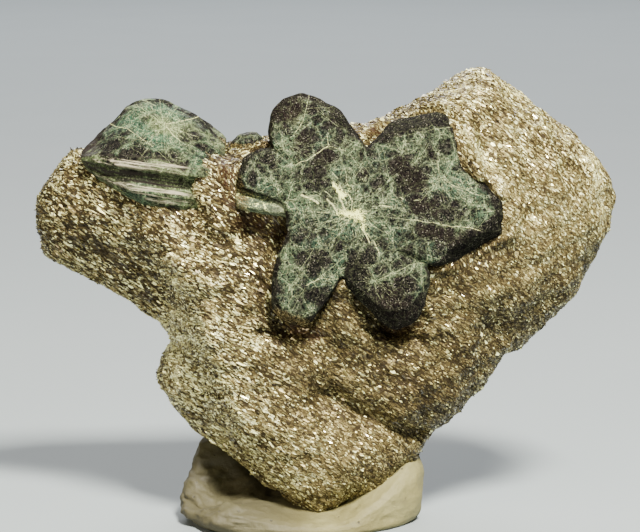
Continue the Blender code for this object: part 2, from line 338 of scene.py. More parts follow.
def grid_chart(rows: int, columns: int) -> Array:
    """Map coordinates of a closed grid: its columns run across the map and its rows up it.

    Args:
        rows: how many rows it has, poles included.
        columns: how many columns it has.

    Returns:
        Two numbers for each corner of the quads, then of the fans at the first and last pole.
    """
    high, wide = 1.0 / (rows - 1), 1.0 / columns
    row, column = np.mgrid[0 : rows - 3, 0:columns]
    u, v = column * wide, (row + 1) * high
    quads = np.stack([u, v, u, v + high, u + wide, v + high, u + wide, v], axis=-1)
    start = np.arange(columns) * wide
    low, middle = 0 * start, start + wide / 2
    top = np.stack([middle, low, start, low + high, start + wide, low + high], axis=-1)
    end = np.stack([start, low + 1 - high, middle, low + 1, start + wide, low + 1 - high], axis=-1)
    return np.concatenate([quads.ravel(), top.ravel(), end.ravel()])


def closed_grid(name: str, points: Array, marks: dict[str, Array]) -> bpy.types.Object:
    """A closed skin from a grid whose columns meet and whose first and last rows are poles.

    Args:
        name: the piece's name.
        points: places in millimetres, by row, column and axis.
        marks: numbers by row and column, by the name that materials read.

    Returns:
        The piece.
    """
    rows, columns = points.shape[:2]
    places = np.vstack([points[:1, 0], points[1:-1].reshape(-1, 3), points[-1:, 0]])
    numbers = {
        key: np.concatenate([values[0, :1], values[1:-1].ravel(), values[-1, :1]])
        for key, values in marks.items()
    }
    row, column = np.mgrid[0 : rows - 3, 0:columns]
    here, right = 1 + row * columns + column, 1 + row * columns + (column + 1) % columns
    quads = np.stack([here, here + columns, right + columns, right], axis=-1)
    first = 1 + np.arange(columns)
    after = 1 + first % columns
    below = (rows - 3) * columns
    top = np.stack([0 * first, first, after], axis=-1)
    end = np.stack([below + first, 0 * first + len(places) - 1, below + after], axis=-1)
    loops = np.concatenate([quads.ravel(), top.ravel(), end.ravel()])
    sizes = np.concatenate([np.full(row.size, 4), np.full(2 * columns, 3)])
    mesh = new_mesh(name, places, loops, sizes, rounded=True)
    return link_piece(mesh, numbers, grid_chart(rows, columns))


def settle(piece: bpy.types.Object, made_of: bpy.types.Material, slot: Slot, *nodes: str) -> None:
    """Dress a piece, let it ride, and hide the nodes of the solids that it stands for.

    Args:
        piece: the piece.
        made_of: its material.
        slot: not used.
        nodes: the nodes of the solids that it stands for, if any.
    """
    piece.data.materials.append(made_of)
    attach(piece, "root")
    if nodes:
        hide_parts(*nodes)
    count = sum(len(face.vertices) - 2 for face in piece.data.polygons)
    LOG.info("%s: %d triangles", piece.name, count)


# ------------------------ shader maths


class Wire:
    """A node's output that Python's operators work on, one Math node for each."""

    def __init__(self, graph: "Graph", socket: bpy.types.NodeSocket) -> None:
        """Keep the graph that the socket belongs to."""
        self.graph = graph
        self.socket = socket

    def maths(self, operation: str, *values: Any) -> "Wire":
        """One Math node."""
        inputs = dict(enumerate(values))
        return self.graph.node("ShaderNodeMath", {"operation": operation}, inputs)

    def __add__(self, other: Any) -> "Wire":
        """self + other."""
        return self.maths("ADD", self, other)

    def __sub__(self, other: Any) -> "Wire":
        """self - other."""
        return self.maths("SUBTRACT", self, other)

    def __rsub__(self, other: Any) -> "Wire":
        """other - self."""
        return self.maths("SUBTRACT", other, self)

    def __mul__(self, other: Any) -> "Wire":
        """self * other."""
        return self.maths("MULTIPLY", self, other)

    def __truediv__(self, other: Any) -> "Wire":
        """self / other."""
        return self.maths("DIVIDE", self, other)

    def __or__(self, other: Any) -> "Wire":
        """The larger of the two."""
        return self.maths("MAXIMUM", self, other)

    __radd__ = __add__
    __rmul__ = __mul__

    def root(self) -> "Wire":
        """The square root."""
        return self.maths("SQRT", self)

    def absolute(self) -> "Wire":
        """The value without its sign."""
        return self.maths("ABSOLUTE", self)

    def step(self, start: float, end: float) -> "Wire":
        """An eased step, 3t^2 - 2t^3, that may rise to either side.

        Args:
            start: the value where it is 0.
            end: the value where it is 1.

        Returns:
            0 to 1.
        """
        settings = {"interpolation_type": "SMOOTHSTEP", "clamp": True}
        inputs = {"Value": self, "From Min": start, "From Max": end}
        return self.graph.node("ShaderNodeMapRange", settings, inputs)


class Graph:
    """The node tree of one material, with the few calls that the finishes are written in."""

    def __init__(self, name: str) -> None:
        """Start a material with a Principled shader.

        Args:
            name: the material's name.
        """
        self.material = bpy.data.materials.new(name)
        self.material.use_nodes = True
        self.nodes = self.material.node_tree.nodes
        self.links = self.material.node_tree.links
        self.shader = self.nodes["Principled BSDF"]

    def feed(self, socket: bpy.types.NodeSocket, value: Any) -> None:
        """Link a wire to a socket, or set the socket's own value.

        Args:
            socket: a node's input.
            value: a wire, or a value of the socket's kind.
        """
        if isinstance(value, Wire):
            self.links.new(value.socket, socket)
        else:
            socket.default_value = value

    def node(self, kind: str, settings: dict, inputs: dict, output: Any = 0) -> Wire:
        """Any node.

        Args:
            kind: the node's type.
            settings: its properties, set first.
            inputs: values or wires, by the socket's name, identifier or number.
            output: name or number of the output.

        Returns:
            The output as a wire.
        """
        made = self.nodes.new(kind)
        for key, value in settings.items():
            setattr(made, key, value)
        by_name = {socket.identifier: socket for socket in made.inputs}
        for key, value in inputs.items():
            self.feed(by_name[key] if key in by_name else made.inputs[key], value)
        return Wire(self, made.outputs[output])

    def place(self) -> Wire:
        """Object coordinates in millimetres."""
        coordinates = self.node("ShaderNodeTexCoord", {}, {}, "Object")
        return self.vector("SCALE", coordinates, Scale=1 / MM)

    def vector(self, operation: str, a: Any, b: Any = (0, 0, 0), output: Any = 0,
               **more: Any) -> Wire:
        """One Vector Math node."""
        return self.node("ShaderNodeVectorMath", {"operation": operation}, {0: a, 1: b, **more},
                         output)

    def dot(self, a: Any, b: Any) -> Wire:
        """The dot product of two vectors."""
        return self.vector("DOT_PRODUCT", a, b, "Value")

    def join(self, x: Any, y: Any, z: Any) -> Wire:
        """A vector from three numbers."""
        return self.node("ShaderNodeCombineXYZ", {}, {0: x, 1: y, 2: z})

    def mark(self, name: str) -> Wire:
        """A number that the mesh keeps for each point."""
        return self.node("ShaderNodeAttribute", {"attribute_name": name}, {}, "Fac")

    def noise(self, place: Wire, scale: float, detail: float = 3.0, rough: float = 0.5,
              bend: float = 0.0) -> Wire:
        """Noise from 0 to 1.

        Args:
            place: where it is read.
            scale: lumps per unit of place.
            detail: how many finer sizes are added.
            rough: how strong the finer sizes are.
            bend: how far the noise bends itself.

        Returns:
            The noise.
        """
        inputs = {"Vector": place, "Scale": scale, "Detail": detail, "Roughness": rough,
                  "Distortion": bend}
        return self.node("ShaderNodeTexNoise", {}, inputs, 0)

    def cells(self, place: Wire, scale: float, feature: str = "F1",
              output: str = "Distance") -> Wire:
        """Cells of random shape, with scale in cells per unit of place."""
        return self.node("ShaderNodeTexVoronoi", {"feature": feature},
                         {"Vector": place, "Scale": scale}, output)

    def red_of(self, colour: Wire) -> Wire:
        """The red part of a colour, used as a random number for each cell."""
        return self.node("ShaderNodeSeparateColor", {}, {0: colour})

    def mix(self, share: Any, a: Any, b: Any) -> Wire:
        """One Mix node on colours.

        Args:
            share: how much of the second colour is in the mixture.
            a: the first colour, a wire or three numbers.
            b: the second colour, a wire or three numbers.

        Returns:
            The mixture.
        """
        a, b = ((*c, 1.0) if isinstance(c, tuple) else c for c in (a, b))
        settings = {"data_type": "RGBA", "clamp_factor": True}
        return self.node("ShaderNodeMix", settings, {"Factor_Float": share, "A_Color": a,
                                                     "B_Color": b}, 2)

    def ramp(self, share: Wire, stops: tuple[tuple[float, Triple], ...]) -> Wire:
        """A colour from a ramp.

        Args:
            share: the place on the ramp, from 0 to 1.
            stops: pairs of position and colour.

        Returns:
            The colour.
        """
        made = self.nodes.new("ShaderNodeValToRGB")
        band = made.color_ramp
        while len(band.elements) < len(stops):
            band.elements.new(0.5)
        for element, (position, colour) in zip(band.elements, stops):
            element.position = position
            element.color = (*colour, 1.0)
        self.feed(made.inputs[0], share)
        return Wire(self, made.outputs[0])

    def bump(self, height: Wire, depth: float, strength: float = 1.0) -> Wire:
        """A Bump node whose full height is depth in millimetres."""
        inputs = {"Height": height, "Distance": depth * MM, "Strength": strength}
        return self.node("ShaderNodeBump", {}, inputs)

    def finish(self, **sockets: Any) -> bpy.types.Material:
        """Feed the shader's sockets.

        Args:
            sockets: wires or numbers, by the socket's name with spaces written as underscores.

        Returns:
            The material.
        """
        for key, value in sockets.items():
            self.feed(self.shader.inputs[key.replace("_", " ")], value)
        return self.material


# ------------------------ finishes


@dataclass(frozen=True)
class SchistGround:
    """The ground mass between the flakes: brown, finely flaky along the foliation."""

    dark: Triple = (0.022, 0.015, 0.006)
    brown: Triple = (0.122, 0.093, 0.036)
    gold: Triple = (0.38, 0.32, 0.14)
    cream: Triple = (0.84, 0.84, 0.52)
    rust: Triple = (0.030, 0.010, 0.006)
    lean: float = 35.0  # degrees by which the foliation falls to the right
    stretch: float = 0.30  # a cell's width over its length

    def material(self) -> bpy.types.Material:
        """Small stretched cells, each of its own brightness, over slow brown clouds.

        Returns:
            The material.
        """
        graph = Graph("schist_ground")
        place = graph.place()
        tilt = np.radians(self.lean)
        along = graph.dot(place, (np.cos(tilt), 0.0, -np.sin(tilt)))
        across = graph.dot(place, (np.sin(tilt), 0.0, np.cos(tilt)))
        deep = graph.dot(place, (0.0, 1.0, 0.0))
        grain = graph.join(along * self.stretch, deep * 0.8, across)
        scales = graph.cells(grain, 4.2, output="Color")
        bright = graph.red_of(scales)
        edges = graph.cells(grain, 4.2, "DISTANCE_TO_EDGE").step(0.0, 0.14)
        clouds = graph.noise(place, 0.16, 4.0)
        fine = graph.noise(grain, 5.5, 3.0, 0.6)
        shade = (bright * bright * 0.9 + (fine - 0.5) * 0.9 - 0.3) * graph.mark("bold") + 0.31
        shade = shade + (clouds - 0.5) * 0.2 + graph.mark("tint")
        colour = graph.ramp(shade * edges, ((0.05, self.dark), (0.36, self.brown),
                                            (0.66, self.gold), (0.98, self.cream)))
        colour = graph.mix(graph.mark("stain") * clouds.step(0.25, 0.6), colour, self.rust)
        relief = bright * edges + fine * 0.4
        return graph.finish(Base_Color=colour, Roughness=0.62 - bright * 0.25, Metallic=0.2,
                            Specular_IOR_Level=0.12, Normal=graph.bump(relief, 0.16, 0.9))


@dataclass(frozen=True)
class MicaFlakes:
    """Pearly golden mica: each flake has its own tint from brown to champagne."""

    brown: Triple = (0.044, 0.032, 0.013)
    bronze: Triple = (0.180, 0.142, 0.058)
    gold: Triple = (0.43, 0.39, 0.175)
    champagne: Triple = (1.0, 0.98, 0.50)
    rust: Triple = (0.050, 0.017, 0.009)

    def material(self) -> bpy.types.Material:
        """A tint for each flake with faint cleavage lines and worn, duller patches.

        Returns:
            The material.
        """
        graph = Graph("mica_flakes")
        place = graph.place()
        tint = graph.mark("tint")
        lines = graph.noise(place, 9.0, 2.0, 0.6)
        clouds = graph.noise(place, 0.15, 3.0)
        shade = tint + (lines - 0.5) * 0.25 + (clouds - 0.5) * 0.15
        colour = graph.ramp(shade, ((0.05, self.brown), (0.4, self.bronze), (0.75, self.gold),
                                    (1.0, self.champagne)))
        colour = graph.mix(graph.mark("stain") * 0.8, colour, self.rust)
        dull = 0.22 + graph.mark("dull") * 0.26 + (lines - 0.5) * 0.1
        mirror = graph.mark("dull").step(0.45, 0.15)
        return graph.finish(Base_Color=colour, Roughness=dull, Metallic=0.34 + mirror * 0.4,
                            Specular_IOR_Level=0.15, Coat_Weight=mirror, Coat_Roughness=0.09,
                            Normal=graph.bump(lines, 0.010, 0.5))


@dataclass(frozen=True)
class CrystalFields:
    """The graph of one crystal's material, with the places and noises that its layers share."""

    graph: Graph
    u: Wire  # millimetres to the right in the face
    v: Wire  # millimetres up in the face
    deep: Wire  # millimetres into the crystal
    flat: Wire  # the three as one vector
    blots: Wire
    grit: Wire
    speck: Wire
    web: Wire  # distance from the edges of crooked cells
    net: Wire  # the edges of smaller ones
    haze: Wire  # share of green


@dataclass(frozen=True)
class Chrysoberyl:
    """Near-black green crystal shot through with pale fibres that spread from star centres."""

    name: str
    centre: Triple = (4.0, -14.6, 41.2)
    lean: float = 8.0
    fall: float = 0.14  # how steeply the lines in the bands fall to the right
    haze_level: float = 0.0  # added to the share of green haze
    fibre_level: float = 1.0
    grain: float = 1.0  # how much dark ground shows through the haze
    stars: tuple[tuple[Pair, float, float], ...] = ()  # centre, reach and strength of each star
    black: Triple = (0.0020, 0.0016, 0.0018)
    umber: Triple = (0.024, 0.020, 0.018)
    maroon: Triple = (0.011, 0.007, 0.0065)
    green: Triple = (0.054, 0.084, 0.044)
    teal: Triple = (0.028, 0.058, 0.036)
    pale: Triple = (0.43, 0.48, 0.26)
    cream: Triple = (0.84, 0.84, 0.40)
    core: Triple = (0.96, 1.0, 0.32)
    salt: Triple = (0.50, 0.46, 0.38)
    # pink: the ledges' own tone and partly a painted reflection of the light on them
    pink: Triple = (0.31, 0.28, 0.20)
    crust: Triple = (0.085, 0.060, 0.024)
    gilt: Triple = (0.42, 0.34, 0.15)
    fibre_turns: tuple[float, ...] = (8.0, 37.0, 66.0, 98.0, 128.0, 158.0)  # degrees

    def fields(self) -> CrystalFields:
        """Places in the leaning face, and noises on them from slow patches to fine specks.

        Returns:
            The fields, in a new graph.
        """
        graph = Graph(self.name)
        lean = np.radians(self.lean)
        c, s = float(np.cos(lean)), float(np.sin(lean))
        local = graph.vector("SUBTRACT", graph.place(), self.centre)
        u = graph.dot(local, (1.0, 0.0, 0.0))
        v = graph.dot(local, (0.0, s, c))
        deep = graph.dot(local, (0.0, c, -s))
        flat = graph.join(u, deep, v)
        waver = graph.node("ShaderNodeTexNoise", {}, {"Vector": flat, "Scale": 1.1,
                                                      "Detail": 3.0}, "Color")
        waver = graph.vector("SUBTRACT", waver, (0.5, 0.5, 0.5))
        bent = graph.vector("ADD", flat, graph.vector("SCALE", waver, Scale=0.9))

        patches = graph.noise(flat, 0.34, 4.0, 0.6, 0.6)
        blots = graph.noise(flat, 1.3, 4.0, 0.65, 0.5)
        grit = graph.noise(flat, 3.4, 3.0, 0.75, 0.3)
        speck = graph.noise(flat, 6.5, 2.0, 0.6)
        web = graph.cells(bent, 0.50, "DISTANCE_TO_EDGE")
        net = graph.cells(bent, 1.25, "DISTANCE_TO_EDGE").step(0.075, 0.015)
        haze = patches * 0.7 + blots * 0.9 + web.step(0.24, 0.0) * 0.30 + graph.mark("haze") * 0.50
        haze = (haze + (self.haze_level - 0.68)).step(0.0, 0.95)
        return CrystalFields(graph, u, v, deep, flat, blots, grit, speck, web, net, haze)

    def fibres(self, at: CrystalFields) -> Wire:
        """Straight fibres in several directions: noise stretched along each, kept where high.

        Args:
            at: the crystal's fields.

        Returns:
            0 to 1.
        """
        total = None
        for count, turn in enumerate(self.fibre_turns):
            c, s = float(np.cos(np.radians(turn))), float(np.sin(np.radians(turn)))
            along, across = at.u * c + at.v * s, at.v * c - at.u * s
            place = at.graph.join(along * 0.34 + 7.0 * count, across * 4.8, at.deep * 1.8)
            one = at.graph.noise(place, 1.0, 2.5, 0.6, 0.3).step(0.61, 0.67)
            total = one if total is None else total | one
        return total

    def star(self, at: CrystalFields, centre: Pair, reach: float) -> Wire:
        """Fibres that spread from a centre: noise over the direction, fading outwards.

        Three sets of rays, the coarsest nearest the centre and the finest furthest out, keep the
        fibres about as thin at every distance, and slower noise leaves gaps between them.

        Args:
            at: the crystal's fields.
            centre: the star's centre, as u and v.
            reach: where the fibres have faded.

        Returns:
            0 to 1.
        """
        du, dv = at.u - centre[0], at.v - centre[1]
        away = (du * du + dv * dv + 0.01).root()
        total = None
        for turns, far in ((2.4, 0.24), (5.0, 0.45), (14.0, 1.0)):
            place = at.graph.join(du / away * turns, dv / away * turns, away * 1.1 + at.deep * 0.3)
            rays = at.graph.noise(place, 1.0, 2.0, 0.6).step(0.56, 0.64)
            rays = rays * away.step(reach * far, reach * far * 0.05)
            total = rays if total is None else total | rays
        gaps = at.graph.noise(at.graph.join(du / away * 2.0, dv / away * 2.0, away * 0.45), 1.0, 3.0)
        return total * gaps.step(0.40, 0.60)

    def threads(self, at: CrystalFields) -> Wire:
        """All pale fibres, the strongest at each place: straight ones, net, web and stars.

        Args:
            at: the crystal's fields.

        Returns:
            0 to 1.
        """
        clumps = at.blots.step(0.42, 0.58)
        thread = self.fibres(at) * (0.05 + at.haze * (0.27 + clumps * 0.40))
        thread = thread | at.net * (at.haze * 0.10 + 0.02)
        thread = thread | at.web.step(0.04, 0.01) * (at.haze * 0.45 + 0.06)
        for centre, reach, strength in self.stars:
            thread = thread | self.star(at, centre, reach) * strength
        return thread * (at.speck.step(0.40, 0.58) * 0.85 + 0.15) * self.fibre_level

    def ground(self, at: CrystalFields) -> Wire:
        """Near-black ground with umber and maroon grains, under green haze.

        Args:
            at: the crystal's fields.

        Returns:
            The colour.
        """
        clear = at.graph.mark("haze") * 0.75 + 1.0
        colour = at.graph.mix(at.grit.step(0.52, 0.60) * clear, self.black, self.umber)
        colour = at.graph.mix(at.graph.mark("maroon") * at.grit.step(0.35, 0.6), colour, self.maroon)
        tone = at.graph.mix(at.graph.noise(at.flat, 0.18, 2.0).step(0.42, 0.6), self.green, self.teal)
        mottle = at.grit.step(0.42, 0.55) * self.grain + (1.0 - self.grain)
        return at.graph.mix(at.haze * mottle, colour, tone)

    def veins(self, at: CrystalFields, colour: Wire) -> Wire:
        """Thin pale veins, crumbled by the grit.

        Args:
            at: the crystal's fields.
            colour: what lies under them.

        Returns:
            The colour with veins.
        """
        bold = at.graph.mark("bold")
        vein = (at.graph.mark("vein").absolute() + at.grit * 1.2).step(1.5, 0.6) * bold
        vein = vein * at.graph.mark("reach").step(0.42, 0.20) * at.speck.step(0.30, 0.58)
        tone = at.graph.mix(bold.step(0.6, 0.95), self.pale, self.cream)
        return at.graph.mix(vein * 0.8, colour, tone)

    def bands(self, at: CrystalFields, colour: Wire) -> Wire:
        """Pink and umber bands made of fine straight lines along the face; the pink is the ledges'
        own stripes and partly a painted reflection of the light on them.

        Args:
            at: the crystal's fields.
            colour: what lies under them.

        Returns:
            The colour with bands.
        """
        band = at.graph.mark("band")
        level = (at.v + at.u * self.fall) * 3.4
        lines = at.graph.noise(at.graph.join(at.u * 0.09, at.deep, level), 1.0, 4.0, 0.75)
        colour = at.graph.mix(band.step(0.1, 0.9) * lines.step(0.46, 0.55), colour, self.pink)
        return at.graph.mix((band * -1.0).step(0.1, 0.7) * lines.step(0.60, 0.47), colour, self.umber)

    def crusted(self, at: CrystalFields, colour: Wire) -> Wire:
        """Brown crust with gilt specks.

        Args:
            at: the crystal's fields.
            colour: what lies under it.

        Returns:
            The colour with crust.
        """
        crust = (at.graph.mark("crust") * 1.3 + at.blots * 1.4 - 0.7).step(0.4, 0.9)
        colour = at.graph.mix(crust * at.grit.step(0.44, 0.56), colour, self.crust)
        return at.graph.mix(crust * at.speck.step(0.54, 0.64) * 0.6, colour, self.gilt)

    def material(self) -> bpy.types.Material:
        """Ground, fibres, salt grains, veins, pale cores, bands and crust, each over the last.

        Returns:
            The material.
        """
        at = self.fields()
        graph, thread = at.graph, self.threads(at)
        colour = graph.mix(thread, self.ground(at), self.pale)
        colour = graph.mix((thread - 0.60).step(0.0, 0.3) * 0.5, colour, self.cream)
        salt = at.speck.step(0.60, 0.68) * at.blots.step(0.44, 0.58)
        colour = self.veins(at, graph.mix(salt * 0.35, colour, self.salt))
        core = graph.mark("core") * 0.7 + thread * 0.45 + at.grit * 0.7 + at.speck * 0.5
        colour = graph.mix(core.step(1.34, 1.58) * 0.92, colour, self.core)
        colour = self.crusted(at, self.bands(at, colour))

        relief = thread * 0.35 + at.grit * 0.8 + at.blots * 0.6
        rough = 0.38 + at.blots * 0.2 + graph.mark("haze").step(-0.2, -1.0) * 0.35
        glints = at.speck.step(0.62, 0.72) * at.grit.step(0.5, 0.65)
        return graph.finish(Base_Color=colour, Roughness=rough, Specular_IOR_Level=0.04,
                            Coat_Weight=glints * 0.4, Coat_Roughness=0.22,
                            Normal=graph.bump(relief, 0.26, 0.9))


@dataclass(frozen=True)
class Putty:
    """Matt cream putty with thumbed, greyer films, dirt and painted shadow, pits and dark specks."""

    cream: Triple = (0.125, 0.110, 0.040)
    pale: Triple = (0.175, 0.160, 0.066)
    grey: Triple = (0.070, 0.062, 0.026)
    # dark colour for dirt in the folds and for painted shadow on the left
    dirt_and_shade: Triple = (0.020, 0.017, 0.010)
    speck: Triple = (0.03, 0.025, 0.018)

    def material(self) -> bpy.types.Material:
        """Cream clouds with sparse specks, dirt and painted shadow where they are marked, and a fine
        leathery bump.

        Returns:
            The material.
        """
        graph = Graph("mounting_putty")
        place = graph.place()
        clouds = graph.noise(place, 0.14, 4.0, 0.55, 0.5)
        smear = graph.noise(graph.vector("MULTIPLY", place, (0.35, 0.35, 1.2)), 0.5, 4.0, 0.6)
        fine = graph.noise(place, 2.6, 4.0, 0.6)
        colour = graph.mix(clouds.step(0.35, 0.65), self.cream, self.pale)
        colour = graph.mix(smear.step(0.56, 0.75) * 0.55, colour, self.grey)
        dots = graph.cells(place, 0.55).step(0.13, 0.05) * graph.noise(place, 0.9, 1.0).step(0.5, 0.6)
        colour = graph.mix(dots * 0.9, colour, self.speck)
        # dirt and painted shadow, where the mark says
        colour = graph.mix(graph.mark("dirt_and_shade"), colour, self.dirt_and_shade)
        relief = fine * 0.6 + smear - dots * 0.6
        return graph.finish(Base_Color=colour, Roughness=0.58 + fine * 0.2,
                            Normal=graph.bump(relief, 0.22, 0.7))


@dataclass(frozen=True)
class StudioFloor:
    """A plain pale tabletop with a barely seen mottle."""

    pale: Triple = (0.208, 0.240, 0.256)
    paler: Triple = (0.226, 0.258, 0.274)

    def material(self) -> bpy.types.Material:
        """Two close pale tones in slow clouds.

        Returns:
            The material.
        """
        graph = Graph("studio_floor")
        clouds = graph.noise(graph.place(), 0.02, 3.0)
        colour = graph.mix(clouds, self.pale, self.paler)
        return graph.finish(Base_Color=colour, Roughness=0.75)


# ------------------------ sub-assemblies


@dataclass(frozen=True)
class TwinShape:
    """The six-lobed outline of the large twin, which the schist wraps round as well."""

    middle: Triple = (4.0, -14.6, 41.2)
    lean: float = 8.0  # degrees by which the face looks up
    thick: float = 8.2
    dome: float = 0.5  # how far the face's edge lies behind its middle
    bevel_slope: float = 1.05
    outline: Stops = (  # degrees and radius
        (359.5, 19.8), (4.5, 19), (12, 17.1), (16.5, 16.1), (23, 15.5), (29.5, 16.1),
        (33, 16.8), (40, 17.4), (44.5, 17.3), (49, 16.8), (55.5, 15.1), (63, 13.3), (67, 12.1),
        (71, 10), (78, 8.5), (91, 11.1), (96.5, 13), (106, 14.8), (113, 16.5), (121, 16.7),
        (128.5, 16.1), (136.5, 14.7), (141.5, 13.2), (146, 14.2), (153, 15.2), (161.5, 15.1),
        (167, 14.2), (169, 10.4), (172, 8.7), (186, 8.3), (201, 8.7), (206, 10), (216, 12.2),
        (222, 13.6), (229, 15.4), (235, 16.1), (243, 15.8), (250, 14.6), (253, 12.4),
        (256, 10.4), (261, 8.6), (268, 9.6), (274, 10.9), (279, 12.1), (284, 14.2), (290, 15.6),
        (295, 15.9), (300, 15.8), (305, 15.2), (310.5, 14.3), (319, 12.9), (325, 11.7),
        (330, 13.2), (339, 15.2), (348, 17.7), (352, 19.4),
    )
    bevel: Stops = (  # degrees and width of the sloping rim
        (10, 1), (45, 1.7), (60, 2.3), (75, 0.8), (100, 1.3), (115, 0.8), (150, 0.9),
        (175, 0.5), (220, 1), (240, 1.2), (262, 0.7), (290, 2.6), (308, 1.6), (326, 0.8),
        (340, 2.4), (354, 2.4),
    )

    def face_place(self, x: Array, y: Array, z: Array) -> tuple[Array, Array]:
        """Places in the face.

        Args:
            x: millimetres to the right.
            y: millimetres back.
            z: millimetres up.

        Returns:
            The angle from +X in degrees, and the distance from the middle.
        """
        lean = np.radians(self.lean)
        up = (z - self.middle[2]) * np.cos(lean) + (y - self.middle[1]) * np.sin(lean)
        side = x - self.middle[0]
        return np.degrees(np.arctan2(up, side)), np.hypot(up, side)

    def outside(self, x: Array, y: Array, z: Array) -> Array:
        """How far outside the outline a point lies, along the ray from the middle."""
        angle, radius = self.face_place(x, y, z)
        return radius - closed_curve(angle, self.outline)


TWIN = TwinShape()


